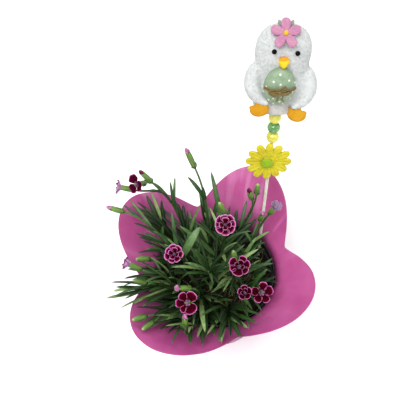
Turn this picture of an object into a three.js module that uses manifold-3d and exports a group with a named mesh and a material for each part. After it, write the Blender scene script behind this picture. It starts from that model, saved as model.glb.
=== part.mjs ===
// A pot of dwarf pinks in a flower-shaped film sleeve, with a felt bird on a stick.
// Millimetres, +Z up. The origin is the centre of the underside that it stands on.
import * as THREE from 'three';
import { mergeVertices } from 'three/addons/utils/BufferGeometryUtils.js';
import Module from 'manifold-3d';

const wasm = await Module();
wasm.setup();
const degree = Math.PI / 180;

// ---- driving dimensions ---------------------------------------------------

const seatGap = 0.3; // between pieces that touch

const film = {
  thickness: 0.8,
  baseRadius: 42,
  neckRadius: 61.4,
  neckStart: 90, // height where the cup ends and the neck goes straight up
  rimHeight: 100,
  notchRadius: [73.5, 73.5, 82, 73.5], // after lobes 0 to 3
  fullness: 1.35, // how round the lobes are
  firstLobe: 54.7, // degrees, the middle of lobe 0
  lobeRadius: [104.3, 105.5, 114.75, 104],
  lobeSlope: [1.27, 1.13, 0.96, 0.81], // rise over run of each lobe
  columns: 48,
};

const pot = {
  bottom: film.thickness + seatGap,
  baseRadius: 40.5,
  shoulderRadius: 57,
  rimRadius: 60,
  shoulderHeight: 90,
  height: 100,
  wall: 1.3,
  drainRadius: 4,
  drainCircle: 26,
  drainCount: 4,
  columns: 24,
};

const soil = {
  height: 87,
  edgeGap: 0.4,
  lump: 1.3,
  rings: 2,
  holeGap: 0.5,
};

const pick = {
  foot: [48.7, 26.6, 110], // the point of the stick that sets its place
  leanBack: 12,
  leanRight: 5.75,
  turn: -4,
  stickRadius: 1.5,
  bore: 1.85,
  stickBottom: -55,
  stickTop: 171,
  point: 3,
};

const leafShape = { width: 4.7, length: 70, thickness: 1.15, clear: 0.45 };
const stalk = { radius: 1.55, tipRadius: 1, sides: 5, runs: 5, sunk: 12 };
const calyx = { length: 13, radius: 2.7, mouth: 2.35, socket: 1.85, socketDepth: 3.6 };

// ---- materials ------------------------------------------------------------

const material = (color, roughness = 0.8, metalness = 0) =>
  new THREE.MeshStandardMaterial({ color, roughness, metalness, flatShading: true });

const finish = {
  film: material('#c0508f', 0.45),
  pot: material('#17171a', 0.5),
  soil: material('#2b1d15', 1),
  leaf: material('#33602f', 0.6),
  petal: material('#7a0d3c', 0.65),
  lilac: material('#b678b0', 0.65),
  budTip: material('#d79ac6', 0.65),
  darkTip: material('#4a0822', 0.65),
  stick: material('#f1ece2', 0.6),
  yellowBead: material('#efe04a', 0.2),
  greenBead: material('#8cc04a', 0.2),
  yellowFelt: material('#f2e13c', 0.95),
  limeFelt: material('#a3cf3e', 0.95),
  plush: material('#f6f5f2', 0.95),
  orangeFelt: material('#f09a28', 0.95),
  beak: material('#f2b632', 0.95),
  eye: material('#101012', 0.15),
  pinkFelt: material('#ef9fc4', 0.95),
  silver: material('#c9ccc4', 0.7),
  egg: material('#b9cf9c', 0.7),
  twine: material('#8a6b45', 0.9),
};

// ---- solids ---------------------------------------------------------------

const vec = (x, y, z) => new THREE.Vector3(x, y, z);

function toSolid(geometry) {
  const bare = geometry.clone();
  bare.deleteAttribute('normal');
  bare.deleteAttribute('uv');
  const merged = mergeVertices(bare, 1e-4);
  return new wasm.Manifold(new wasm.Mesh({
    numProp: 3,
    vertProperties: Float32Array.from(merged.attributes.position.array),
    triVerts: Uint32Array.from(merged.index.array),
  }));
}

function toGeometry(solid) {
  const { vertProperties, triVerts } = solid.getMesh();
  const geometry = new THREE.BufferGeometry();
  geometry.setAttribute('position', new THREE.BufferAttribute(vertProperties, 3));
  geometry.setIndex(new THREE.BufferAttribute(triVerts, 1));
  return geometry;
}

// Only the biggest body of a cut or join is kept, so no loose scrap is left.
function biggest(solid) {
  const bodies = solid.decompose().sort((a, b) => b.volume() - a.volume());
  return bodies[0];
}

function joined(solids) {
  return biggest(solids.reduce((whole, next) => whole.add(next)));
}

// A closed skin over rings of equal count, each running anticlockwise about the
// way the rings go; a ring of one point closes an end to a tip.
function loft(rings) {
  const points = [];
  const triangles = [];
  const starts = rings.map((ring) => {
    points.push(...ring);
    return points.length - ring.length;
  });
  const count = Math.max(...rings.map((ring) => ring.length));
  for (let i = 0; i + 1 < rings.length; i += 1) {
    const [low, high] = [starts[i], starts[i + 1]];
    for (let j = 0; j < count; j += 1) {
      const next = (j + 1) % count;
      if (rings[i].length === 1) {
        triangles.push(low, high + next, high + j);
      } else if (rings[i + 1].length === 1) {
        triangles.push(low + j, low + next, high);
      } else {
        triangles.push(low + j, low + next, high + next, low + j, high + next, high + j);
      }
    }
  }
  const last = starts[rings.length - 1];
  for (let j = 1; j + 1 < count; j += 1) {
    if (rings[0].length > 1) triangles.push(0, j + 1, j);
    if (rings[rings.length - 1].length > 1) triangles.push(last, last + j, last + j + 1);
  }
  const geometry = new THREE.BufferGeometry().setFromPoints(points);
  geometry.setIndex(triangles);
  return geometry;
}

// Rings on one upright axis, from a profile of [radius(angle), height(angle)].
function turned(profile, columns, firstAngle = 0) {
  const rings = profile.map(([radius, height]) => {
    if (radius === 0) return [vec(0, 0, height)];
    return Array.from({ length: columns }, (_, j) => {
      const angle = firstAngle + (j / columns) * 2 * Math.PI;
      const r = typeof radius === 'function' ? radius(angle, j) : radius;
      const z = typeof height === 'function' ? height(angle, j) : height;
      return vec(r * Math.cos(angle), r * Math.sin(angle), z);
    });
  });
  return loft(rings);
}

function ellipsoid(centre, radii, columns, rows, tilt = 0) {
  const ball = new THREE.SphereGeometry(1, columns, rows);
  ball.rotateX(Math.PI / 2);
  ball.scale(...radii);
  ball.rotateY(tilt * degree);
  ball.translate(...centre);
  return ball;
}

// A round cord that follows a curve.
function cord(curve, radius, sides, steps) {
  const round = new THREE.Shape().absarc(0, 0, radius, 0, 2 * Math.PI);
  const section = new THREE.Shape(round.getPoints(sides).slice(0, sides));
  return new THREE.ExtrudeGeometry(section, { steps, extrudePath: curve });
}

// ---- film sleeve ----------------------------------------------------------

function lobeAt(angle) {
  const turns = (angle / degree - film.firstLobe) / 90;
  const lobe = ((Math.round(turns) % 4) + 4) % 4;
  return { lobe, off: (turns - Math.round(turns)) * 90 };
}

function filmReach(angle) {
  const { lobe, off } = lobeAt(angle);
  const part = Math.abs(Math.cos(2 * off * degree)) ** film.fullness;
  const notch = film.notchRadius[off > 0 ? lobe : (lobe + 3) % 4];
  return notch + (film.lobeRadius[lobe] - notch) * part;
}

function filmSlope(angle) {
  const { lobe, off } = lobeAt(angle);
  const other = (lobe + (off > 0 ? 1 : 3)) % 4;
  const blend = Math.abs(off) / 90;
  return film.lobeSlope[lobe] * (1 - blend) + film.lobeSlope[other] * blend;
}

function filmHeight(radius, angle) {
  return film.rimHeight + filmSlope(angle) * (radius - pot.rimRadius);
}

function sleeve() {
  const brim = [0.5, 1];
  const outward = 0.74; // share of the film's thickness that the brim's slope turns outward
  const radiusAt = (part) => (angle) =>
    film.neckRadius + (filmReach(angle) - film.neckRadius) * part;
  const inside = [
    [0, film.thickness],
    [film.baseRadius - film.thickness, film.thickness],
    [film.neckRadius - film.thickness, film.neckStart],
    [film.neckRadius - film.thickness, film.rimHeight],
    ...brim.map((part) => [
      (angle) => radiusAt(part)(angle) - film.thickness * outward,
      (angle) => filmHeight(radiusAt(part)(angle), angle) + film.thickness / 2,
    ]),
  ];
  const outside = [
    [0, 0],
    [film.baseRadius, 0],
    [film.neckRadius, film.neckStart],
    [film.neckRadius, film.rimHeight - 0.5],
    ...brim.map((part) => [
      radiusAt(part),
      (angle) => filmHeight(radiusAt(part)(angle), angle) - film.thickness / 2,
    ]),
  ];
  return turned([...outside, ...inside.reverse()], film.columns, film.firstLobe * degree);
}

// ---- pot and soil ---------------------------------------------------------

const potFloor = pot.bottom + pot.wall;

function flowerpot() {
  const shell = toSolid(turned([
    [0, pot.bottom],
    [pot.baseRadius, pot.bottom],
    [pot.shoulderRadius, pot.shoulderHeight],
    [pot.rimRadius, pot.shoulderHeight],
    [pot.rimRadius, pot.height],
    [pot.rimRadius - pot.wall, pot.height],
    [pot.rimRadius - pot.wall, pot.shoulderHeight + pot.wall],
    [pot.shoulderRadius - pot.wall, pot.shoulderHeight + pot.wall],
    [pot.baseRadius - pot.wall, potFloor],
    [0, potFloor],
  ], pot.columns));
  const drain = new THREE.CylinderGeometry(pot.drainRadius, pot.drainRadius, 6, 8);
  drain.rotateX(Math.PI / 2);
  return Array.from({ length: pot.drainCount }, (_, i) => {
    const angle = ((i + 0.5) / pot.drainCount) * 2 * Math.PI;
    const [x, y] = [pot.drainCircle * Math.cos(angle), pot.drainCircle * Math.sin(angle)];
    return toSolid(drain.clone().translate(x, y, pot.bottom));
  }).reduce((left, hole) => left.subtract(hole), shell);
}

function soilHeight(x, y) {
  const lumps = Math.sin(0.31 * x + 1.1) * Math.cos(0.27 * y) + 0.6 * Math.sin(0.2 * (x - y));
  return soil.height + soil.lump * lumps;
}

function earth() {
  const inner = (height) =>
    pot.baseRadius - pot.wall - soil.edgeGap + (height - potFloor)
    * ((pot.shoulderRadius - pot.baseRadius) / (pot.shoulderHeight + pot.wall - potFloor));
  const edge = inner(soil.height - 4);
  const top = Array.from({ length: soil.rings }, (_, i) => {
    const radius = edge * (1 - i / soil.rings) - (i > 0 ? 0 : 0.4);
    const height = (angle) => soilHeight(radius * Math.cos(angle), radius * Math.sin(angle));
    return [radius, height];
  });
  return toSolid(turned([
    [0, potFloor + seatGap],
    [inner(potFloor), potFloor + seatGap],
    [edge, soil.height - 4],
    ...top,
    [0, soilHeight(0, 0)],
  ], pot.columns));
}

// ---- the plant: its stems -------------------------------------------------

// bare: the leafless share of a stem's top; size and splay: of its leaves, against the rule's.
// An end is the mouth of a calyx: where it is, which way it faces, what it bears.
// open: radius of the corolla and how far its edge is lifted; tip: a bud that shows
// colour; green: a closed bud; long: a longer calyx. A fork leaves the first end's stem at
// that fraction.
const stems = [
  { name: 'stem_centre', root: [4, 12], pairs: 4, bare: 0.3, size: 0.9, ends: [
    { at: [13, 12, 170], face: [-0.05, -0.42, 0.9], open: 10.5, lift: 0.6, spin: 10 },
    { at: [10, 36, 171], face: [-0.35, 0.35, 0.85], fork: 0.55, green: true }] },
  { name: 'stem_left', root: [-15, 2], pairs: 4, bare: 0.2, size: 0.9, ends: [
    { at: [-37.5, -10, 163], face: [-0.12, -0.35, 0.92], open: 9.7, lift: 1.4, spin: 40 }] },
  { name: 'stem_right', root: [14, -8], pairs: 4, size: 0.85, ends: [
    { at: [22, -27, 158], face: [-0.1, -0.38, 0.9], open: 10.5, lift: 1.8, spin: 0 },
    { at: [18, -8, 152], face: [-0.1, 0.35, 0.9], fork: 0.45, green: true }] },
  { name: 'stem_front_left', root: [-12, -22], pairs: 4, ends: [
    { at: [-29, -56, 153], face: [-0.22, -0.45, 0.86], open: 11.6, lift: 0.3, spin: 25 },
    { at: [-36, -38, 148], face: [-0.85, -0.1, 0.5], fork: 0.5, tip: 'budTip' }] },
  { name: 'stem_front_right', root: [20, -20], pairs: 5, ends: [
    { at: [40, -46, 136], face: [0.12, -0.45, 0.88], open: 11.6, lift: 0.2, spin: 30 },
    { at: [24, -52, 152], face: [-0.15, -0.3, 0.93], fork: 0.45, open: 7.2, lift: 3, spin: 0 }] },
  { name: 'stem_back_left', root: [-20, 20], pairs: 4, bare: 0.45, size: 0.85, ends: [
    { at: [-66.5, 52, 195], face: [-0.62, -0.5, 0.6], open: 8.2, lift: 0.5, spin: 15 },
    { at: [-61, 67, 190], face: [-0.6, 0.4, 0.69], fork: 0.62, tip: 'darkTip' },
    { at: [-82, 55, 188], face: [-0.9, 0.1, 0.35], fork: 0.7, open: 6, lift: 2.6, spin: 0,
      pale: true }] },
  { name: 'stem_far_left', root: [-32, 10], pairs: 5, bare: 0.2, size: 0.9, splay: 0.7, ends: [
    { at: [-94, 39, 178], face: [-0.9, 0.2, 0.35], tip: 'budTip' }] },
  { name: 'stem_tall', root: [-4, 26], pairs: 4, bare: 0.28, size: 0.7, splay: 0.7, ends: [
    { at: [-15, 62, 222], face: [-0.28, 0.35, 0.9], tip: 'budTip', long: 1.4 }] },
  { name: 'stem_left_low', root: [-34, -6], pairs: 4, bare: 0.2, splay: 0.6, ends: [
    { at: [-80, -15, 161], face: [-0.75, 0.2, 0.55], open: 5.6, lift: 2.6, spin: 0, pale: true },
    { at: [-74, -5, 152], face: [-0.85, -0.2, 0.45], fork: 0.6, green: true }] },
  { name: 'stem_left_bud', root: [-30, -19], pairs: 6, size: 1.15, splay: 0.6, ends: [
    { at: [-78, -25, 148], face: [-0.85, 0.05, 0.5], green: true }] },
  { name: 'stem_low_left', root: [-22, -32], pairs: 4, bare: 0.15, splay: 0.7, ends: [
    { at: [-79, -65, 149], face: [-0.88, -0.3, 0.38], green: true },
    { at: [-71, -74, 147], face: [-0.7, -0.6, 0.38], fork: 0.7, green: true }] },
  { name: 'stem_front_bud', root: [-4, -34], pairs: 5, ends: [
    { at: [-33, -70, 150], face: [0.12, 0.45, 0.88], tip: 'budTip' }] },
  { name: 'stem_back_right', root: [14, 26], pairs: 4, bare: 0.4, size: 0.75, ends: [
    { at: [48, 44, 184], face: [0.1, 0.15, 0.98], green: true },
    { at: [39.5, 40, 180], face: [-0.2, 0.05, 0.97], fork: 0.6, tip: 'darkTip' }] },
  { name: 'stem_right_bud', root: [28, 8], pairs: 4, bare: 0.35, size: 0.6, ends: [
    { at: [49, 19, 171], face: [0.1, -0.1, 0.98], tip: 'budTip' },
    { at: [61, 22, 175], face: [0.35, -0.1, 0.93], fork: 0.6, open: 6.2, lift: 2.6, spin: 0,
      pale: true }] },
  { name: 'shoot_front', root: [8, -33], pairs: 6, size: 1.2, splay: 0.6,
    ends: [{ at: [6, -62, 120] }] },
  { name: 'shoot_front_left', root: [-13, -37], pairs: 6, size: 1.15, splay: 0.6,
    ends: [{ at: [-38, -64, 126] }] },
  { name: 'shoot_left', root: [-22, -11], pairs: 7, size: 1.25, splay: 0.45,
    ends: [{ at: [-74, -26, 127] }] },
  { name: 'shoot_back', root: [4, 38], pairs: 3, size: 0.8, splay: 0.6,
    ends: [{ at: [-8, 50, 124] }] },
  { name: 'shoot_back_left', root: [-32, 28], pairs: 6, splay: 0.55, ends: [{ at: [-56, 50, 134] }] },
  { name: 'shoot_right', root: [36, -8], pairs: 3, size: 0.5, ends: [{ at: [37, -12, 102] }] },
  { name: 'shoot_middle', root: [-3, -10], pairs: 6, size: 1.1, splay: 0.8,
    ends: [{ at: [-8, -18, 136] }] },
];

// A repeatable draw between 0 and 1 for three whole numbers.
function draw(a, b, c) {
  const wave = Math.sin(12.9898 * a + 78.233 * b + 37.719 * c + 4.1) * 43758.5453;
  return wave - Math.floor(wave);
}

// A point on the straight runs that a stem is made of.
function stemPoint(curve, t) {
  const run = Math.min(stalk.runs - 1, Math.floor(t * stalk.runs));
  const from = curve.getPoint(run / stalk.runs);
  return from.lerp(curve.getPoint((run + 1) / stalk.runs), t * stalk.runs - run);
}

function stemCurve(stem, end) {
  const face = end.face ? vec(...end.face).normalize() : null;
  const target = vec(...end.at);
  const long = end.long ?? 1;
  const top = face ? target.clone().addScaledVector(face, -calyx.length * long) : target;
  if (!end.fork) {
    const root = vec(...stem.root, soil.height - stalk.sunk);
    const rise = top.z - root.z;
    const low = root.clone().add(vec((top.x - root.x) * 0.12, (top.y - root.y) * 0.12, rise * 0.45));
    const high = face
      ? top.clone().addScaledVector(face, -0.3 * rise)
      : top.clone().lerp(low, 0.4);
    return new THREE.CubicBezierCurve3(root, low, high, top);
  }
  const main = stem.ends[0].curve;
  const start = stemPoint(main, end.fork);
  const along = main.getTangent(end.fork);
  const span = top.distanceTo(start);
  const low = start.clone().addScaledVector(along, 0.35 * span);
  const high = top.clone().addScaledVector(face, -0.35 * span);
  return new THREE.CubicBezierCurve3(start, low, high, top);
}

function ringAbout(centre, axis, radius, sides) {
  const u = vec(0, 1, 0).cross(axis).normalize();
  const v = axis.clone().cross(u);
  return Array.from({ length: sides }, (_, j) => {
    const angle = (j / sides) * 2 * Math.PI;
    return centre.clone()
      .addScaledVector(u, radius * Math.cos(angle))
      .addScaledVector(v, radius * Math.sin(angle));
  });
}

// The stem with its calyx or closed bud, in one skin.
function stemSkin(end) {
  const rings = [];
  for (let i = 0; i <= stalk.runs; i += 1) {
    const t = i / stalk.runs;
    const radius = stalk.radius + (stalk.tipRadius - stalk.radius) * t;
    rings.push(ringAbout(end.curve.getPoint(t), end.curve.getTangent(t), radius, stalk.sides));
  }
  if (!end.face) return loft(rings);
  const face = vec(...end.face).normalize();
  const base = end.curve.getPoint(1);
  const ring = (distance, radius) =>
    ringAbout(base.clone().addScaledVector(face, distance), face, radius, stalk.sides);
  const mouth = calyx.length * (end.long ?? 1);
  rings.push(ring(mouth * 0.2, calyx.radius * 0.9), ring(mouth * 0.65, calyx.radius));
  if (end.green) {
    rings.push([base.clone().addScaledVector(face, mouth * 1.15)]);
  } else {
    rings.push(
      ring(mouth, calyx.mouth),
      ring(mouth, calyx.socket),
      ring(mouth - calyx.socketDepth, calyx.socket),
    );
  }
  return loft(rings);
}

// ---- the plant: its leaves ------------------------------------------------

// A leaf's rib is an arc in an upright plane, swept a little to one side.
function ribPoint(leaf, t) {
  const { base, azimuth, rise, arch, length, sweep } = leaf;
  const now = rise - arch * t;
  const out = (length * (Math.sin(rise) - Math.sin(now))) / arch;
  const lifted = (length * (Math.cos(now) - Math.cos(rise))) / arch;
  const aside = sweep * length * t * t;
  const [c, s] = [Math.cos(azimuth), Math.sin(azimuth)];
  return {
    at: vec(base.x + c * out - s * aside, base.y + s * out + c * aside, base.z + lifted),
    across: vec(-s, c, 0),
    up: vec(-c * Math.sin(now), -s * Math.sin(now), Math.cos(now)),
    half: (leaf.width / 2) * Math.sin(Math.PI * (0.05 + 0.95 * t)) ** 0.45,
  };
}

// A blade is flat on top, with a keel below.
function bladeSkin(leaf) {
  const rings = [0, 0.32, 0.74].map((t) => {
    const { at, across, up, half } = ribPoint(leaf, t);
    const keel = leafShape.thickness * (1 - 0.3 * t);
    return [
      at.clone().addScaledVector(across, half),
      at.clone().addScaledVector(across, -half),
      at.clone().addScaledVector(up, -keel),
    ];
  });
  return loft([...rings, [ribPoint(leaf, 1).at]]);
}

// A strip is what the clearance test sees: points with the half sizes round them.
function leafStrip(leaf, owner) {
  const stations = Array.from({ length: 6 }, (_, i) => ribPoint(leaf, i / 5));
  return strip(stations.map(({ at, across, up, half }) => (
    { at, across, up, half, deep: leafShape.thickness * 0.8 })), owner);
}

function strip(stations, owner) {
  const middle = stations[0].at.clone().lerp(stations[stations.length - 1].at, 0.5);
  const reach = Math.max(...stations.map(({ at, half }) => at.distanceTo(middle) + half));
  return { stations, owner, middle, reach };
}

function roundStrip(points, radius, owner) {
  const stations = points.map((at) => ({ at, across: null, half: radius, deep: radius }));
  return strip(stations, owner);
}

function reachAlong(station, direction) {
  if (!station.across) return station.half;
  return Math.abs(direction.dot(station.across)) * station.half
    + Math.abs(direction.dot(station.up)) * station.deep;
}

// The nearest points of two segments, as fractions along each.
function nearest(p1, q1, p2, q2) {
  const d1 = q1.clone().sub(p1);
  const d2 = q2.clone().sub(p2);
  const r = p1.clone().sub(p2);
  const [a, e, b] = [d1.dot(d1), d2.dot(d2), d1.dot(d2)];
  const [c, f] = [d1.dot(r), d2.dot(r)];
  const clamp = (x) => Math.min(1, Math.max(0, x));
  const denominator = a * e - b * b;
  let s = denominator > 1e-9 ? clamp((b * f - c * e) / denominator) : 0.5;
  const t = clamp((b * s + f) / e);
  s = clamp((b * t - c) / a);
  return [s, t];
}

function stripsClear(one, two, gap, skip) {
  if (one.middle.distanceTo(two.middle) > one.reach + two.reach + gap) return true;
  for (let i = skip; i + 1 < one.stations.length; i += 1) {
    for (let j = skip; j + 1 < two.stations.length; j += 1) {
      const [a, b] = [one.stations[i], one.stations[i + 1]];
      const [c, d] = [two.stations[j], two.stations[j + 1]];
      const [s, t] = nearest(a.at, b.at, c.at, d.at);
      const between = a.at.clone().lerp(b.at, s).sub(c.at.clone().lerp(d.at, t));
      const distance = between.length();
      if (distance > 1e-6) between.divideScalar(distance);
      const wide = Math.max(reachAlong(a, between), reachAlong(b, between))
        + Math.max(reachAlong(c, between), reachAlong(d, between));
      if (distance < wide + gap) return false;
    }
  }
  return true;
}

// The plant has spread furthest to one side, and its leaves turn away from its heart.
const crown = { middle: 88, more: 26, towards: 190, heart: [0, 4], pull: 0.5 };

function crownReach(angle) {
  return crown.middle + crown.more * Math.cos(angle - crown.towards * degree);
}

// Leaves stay above the soil, the pot's rim and the film, and within the crown.
function hasRoom(leaf) {
  for (let i = 1; i <= 8; i += 1) {
    const { at, half } = ribPoint(leaf, i / 8);
    const radius = Math.hypot(at.x, at.y);
    const angle = Math.atan2(at.y, at.x);
    if (radius > crownReach(angle)) return false;
    const low = at.z - half * 0.5;
    if (radius < 53 && low < soil.height + 3.5) return false;
    if (radius >= 53 && radius < 64 && low < pot.height + 2.5) return false;
    if (radius >= 64 && radius < filmReach(angle) + 4 && low < filmHeight(radius, angle) + 2.5) {
      return false;
    }
  }
  return true;
}

function leafOf(stem, index, pair, side, attempt, spacing) {
  const main = stem.ends[0].curve;
  const t = spacing[pair] / main.getLength();
  const along = main.getTangent(t);
  const roll = (index * 47 + pair * 90 + side * 180 + (draw(index, pair, 1) - 0.5) * 40) * degree;
  const u = vec(0, 1, 0).cross(along).normalize();
  const v = along.clone().cross(u);
  const outward = u.multiplyScalar(Math.cos(roll)).addScaledVector(v, Math.sin(roll));
  const key = 10 * pair + 5 * side + 100 * attempt;
  const high = pair / stem.pairs;
  const splay = ((stem.splay ?? 0.9) * (44 - 20 * high) + (draw(index, key, 2) - 0.5) * 20) * degree;
  const way = along.clone().multiplyScalar(Math.cos(splay)).addScaledVector(outward, Math.sin(splay));
  const base = stemPoint(main, t).addScaledVector(outward, 0.35);
  const [farX, farY] = [base.x - crown.heart[0], base.y - crown.heart[1]];
  const azimuth = Math.atan2(way.y, way.x);
  const aside = ((Math.atan2(farY, farX) - azimuth + 3 * Math.PI) % (2 * Math.PI)) - Math.PI;
  const pull = aside * crown.pull * Math.min(1, Math.hypot(farX, farY) / 45);
  const turn = (draw(index, key, 3) - 0.5) * 16 * attempt * degree;
  const rise = Math.asin(way.z) + attempt * 4 * degree;
  const size = (1 - 0.035 * attempt) * (stem.size ?? 1);
  return {
    base,
    azimuth: azimuth + pull + turn,
    rise: Math.min(rise, 1.45),
    arch: (0.25 + 0.6 * draw(index, key, 4)) * (0.5 + 0.5 * Math.min(1, Math.max(0, rise))),
    length: leafShape.length * (0.98 - 0.52 * high) * (0.85 + 0.35 * draw(index, key, 5)) * size,
    width: leafShape.width * (0.85 + 0.4 * draw(index, key, 6)) * (1 - 0.2 * high),
    sweep: (draw(index, key, 7) - 0.5) * 0.2,
  };
}

const attempts = 18;

function growLeaves() {
  const obstacles = [];
  stems.forEach((stem, index) => {
    stem.ends.forEach((end) => {
      end.curve = stemCurve(stem, end);
      obstacles.push(roundStrip(end.curve.getPoints(stalk.runs), stalk.radius + 0.2, index));
      if (!end.face) return;
      const face = vec(...end.face).normalize();
      const mouth = vec(...end.at);
      const base = end.curve.getPoint(1);
      obstacles.push(roundStrip([base, mouth], calyx.radius + 0.2, index));
      if (end.tip) {
        const tipTop = mouth.clone().addScaledVector(face, budTip.height);
        obstacles.push(roundStrip([mouth, tipTop], 2.4, -1));
      }
      if (end.open) obstacles.push(...corollaStrips(end, face, mouth));
    });
    stem.leaves = [];
  });
  const stick = [pickPoint(0, 0, pick.stickBottom), pickPoint(0, 0, pick.stickTop)];
  obstacles.push(roundStrip(stick, pick.stickRadius + 0.5, -1));
  const spacings = stems.map((stem) => {
    const room = (stem.ends[0].curve.getLength() - stalk.sunk - (stem.ends[0].face ? 8 : 1))
      * (1 - (stem.bare ?? 0));
    const step = Math.min(1, room / (stem.pairs * (6 + 1.1 * stem.pairs)));
    return Array.from({ length: stem.pairs }, (_, k) => (
      stalk.sunk + 3 + step * (6 + 1.1 * (k + 1)) * k));
  });
  const mostPairs = Math.max(...stems.map((stem) => stem.pairs));
  for (let pair = 0; pair < mostPairs; pair += 1) {
    stems.forEach((stem, index) => {
      if (pair >= stem.pairs) return;
      for (let side = 0; side < 2; side += 1) {
        for (let attempt = 0; attempt < attempts; attempt += 1) {
          const leaf = leafOf(stem, index, pair, side, attempt, spacings[index]);
          if (!hasRoom(leaf)) continue;
          const room = leafStrip(leaf, index);
          const free = obstacles.every((other) => (other.owner === index
            ? stripsClear(room, other, 0, 2)
            : stripsClear(room, other, leafShape.clear, 0)));
          if (!free) continue;
          obstacles.push(room);
          stem.leaves.push(leaf);
          break;
        }
      }
    });
  }
}

// ---- the plant: its flowers -----------------------------------------------

const corolla = { petals: 5, thickness: 0.8, tube: 1.15 };
const budTip = { radius: 1.9, height: 5.2, sides: 5 };

// Each petal is a notch beside its neighbour, then a toothed edge; small flowers
// have fewer teeth.
const petalEdge = { large: [0.62, 0.95, 0.9, 0.98], small: [0.6, 0.95, 1] };
const petalWave = { large: [-0.5, 0.3, -0.1, 0.4], small: [-0.4, 0.3, 0] };

function corollaSkin(end) {
  const { petals, thickness, tube } = corolla;
  const size = end.pale ? 'small' : 'large';
  const teeth = petalEdge[size].length;
  const edge = (angle, j) => end.open * petalEdge[size][j % teeth];
  const rim = (angle, j) => 2.2 + end.lift + petalWave[size][j % teeth];
  return turned([
    [0, -calyx.socketDepth + 0.4],
    [tube, -calyx.socketDepth + 0.4],
    [tube, 0.6],
    [edge, (angle, j) => rim(angle, j) - thickness],
    [edge, rim],
    [0, 1.4],
  ], petals * teeth, end.spin * degree);
}

function corollaStrips(end, face, mouth) {
  const u = vec(0, 1, 0).cross(face).normalize();
  const v = face.clone().cross(u);
  const centre = mouth.clone().addScaledVector(face, 1.5);
  return Array.from({ length: corolla.petals }, (_, i) => {
    const angle = (i / corolla.petals) * 2 * Math.PI;
    const out = u.clone().multiplyScalar(Math.cos(angle)).addScaledVector(v, Math.sin(angle));
    const tip = centre.clone().addScaledVector(out, end.open).addScaledVector(face, end.lift);
    const across = face.clone().cross(out);
    const station = (at, half) => ({ at, across, up: face, half, deep: 1.6 });
    return strip([station(centre, 2), station(tip, end.open * 0.55)], -1);
  });
}

function budTipSkin() {
  const { radius, height } = budTip;
  return turned([
    [0, -calyx.socketDepth + 0.4],
    [corolla.tube, -calyx.socketDepth + 0.4],
    [corolla.tube, 0.3],
    [radius, height * 0.4],
    [radius * 0.8, height * 0.8],
    [0, height],
  ], budTip.sides);
}

// ---- the pick -------------------------------------------------------------

const lean = vec(Math.tan(pick.leanRight * degree), Math.tan(pick.leanBack * degree), 1).normalize();
const pickTurn = new THREE.Quaternion().setFromUnitVectors(vec(0, 0, 1), lean)
  .multiply(new THREE.Quaternion().setFromAxisAngle(vec(0, 0, 1), pick.turn * degree));

function pickPoint(x, y, z) {
  return vec(x, y, z).applyQuaternion(pickTurn).add(vec(...pick.foot));
}

const daisy = {
  centre: [-1.8, 108.9], radius: 21.1, petals: 12, thickness: 3, hub: 6, hubAside: -1.5 };

function daisyOutline() {
  const shape = new THREE.Shape();
  const step = 360 / daisy.petals;
  const points = [[-15, 0.52], [-10.5, 0.8], [-5.5, 0.98], [5.5, 0.98], [10.5, 0.8]];
  for (let i = 0; i < daisy.petals; i += 1) {
    points.forEach(([turn, part], j) => {
      const angle = (i * step + turn) * degree;
      const [x, y] = [Math.cos(angle), Math.sin(angle)].map((c) => c * part * daisy.radius);
      if (i + j === 0) shape.moveTo(x, y);
      else shape.lineTo(x, y);
    });
  }
  return shape;
}

// A flat outline drawn in X and Z, given its thickness towards the front (-Y).
function plate(shape, thickness, back) {
  const sheet = new THREE.ExtrudeGeometry(shape, { depth: thickness, bevelEnabled: false });
  return sheet.rotateX(Math.PI / 2).translate(0, back, 0);
}

function daisyPetals() {
  const back = -pick.stickRadius - seatGap;
  return plate(daisyOutline(), daisy.thickness, back).translate(daisy.centre[0], 0, daisy.centre[1]);
}

function domeFacingFront(radius, height, back, x, z) {
  const dome = turned([[0, 0], [radius, 0], [radius * 0.93, height * 0.55],
    [radius * 0.6, height * 0.9], [0, height]], 12);
  return dome.rotateX(Math.PI / 2).translate(x, back, z);
}

const bead = { radius: 5.8, height: 10.2, first: 134.9, step: 10.5 };

function beadSkin() {
  const half = bead.height / 2;
  const profile = [[pick.bore, -half], [3.5, -half * 0.97], [5.1, -half * 0.6], [bead.radius, 0],
    [5.1, half * 0.6], [3.5, half * 0.97], [pick.bore, half], [pick.bore, -half]];
  const lathe = new THREE.LatheGeometry(profile.map((p) => new THREE.Vector2(...p)), 8);
  return lathe.rotateX(Math.PI / 2);
}

const bird = {
  // radius and height up the body and head, which are this deep for their width
  outline: [[0, 162], [12, 162.8], [20, 168], [23.2, 179], [23.6, 192], [22.4, 204],
    [23, 214], [23.2, 223], [21, 232.5], [15.5, 239.5], [8, 242.8], [0, 243.5]],
  depth: 0.68,
  // a wing's middle line and its radius, from the shoulder to its tip
  wing: [[17, -2, 211, 3], [21.5, -4, 203, 7], [22.8, -8, 191.5, 8.2], [18, -13, 183.5, 6.6],
    [10.5, -18, 180.5, 3]],
  wingDrop: 1.6, // how much lower the right one is
  egg: { centre: [-2.3, -16, 198], radii: [12.8, 8.5, 16.8] },
  eye: { x: 9.1, y: -14.4, z: 226.9, radius: 2 },
  beak: { centre: [-1.2, -17.2, 219.8], width: 8.6, height: 9.8, depth: 5 },
  foot: { x: 15.5, y: -14, z: 173, width: 16, height: 12, depth: 5, tilt: 36 },
  flower: { centre: [-1.5, -10.5, 240.5], radius: 12.2, thickness: 2.4, tilt: 42 },
};

const grown = (radii, by) => radii.map((r) => r + by);

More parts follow.
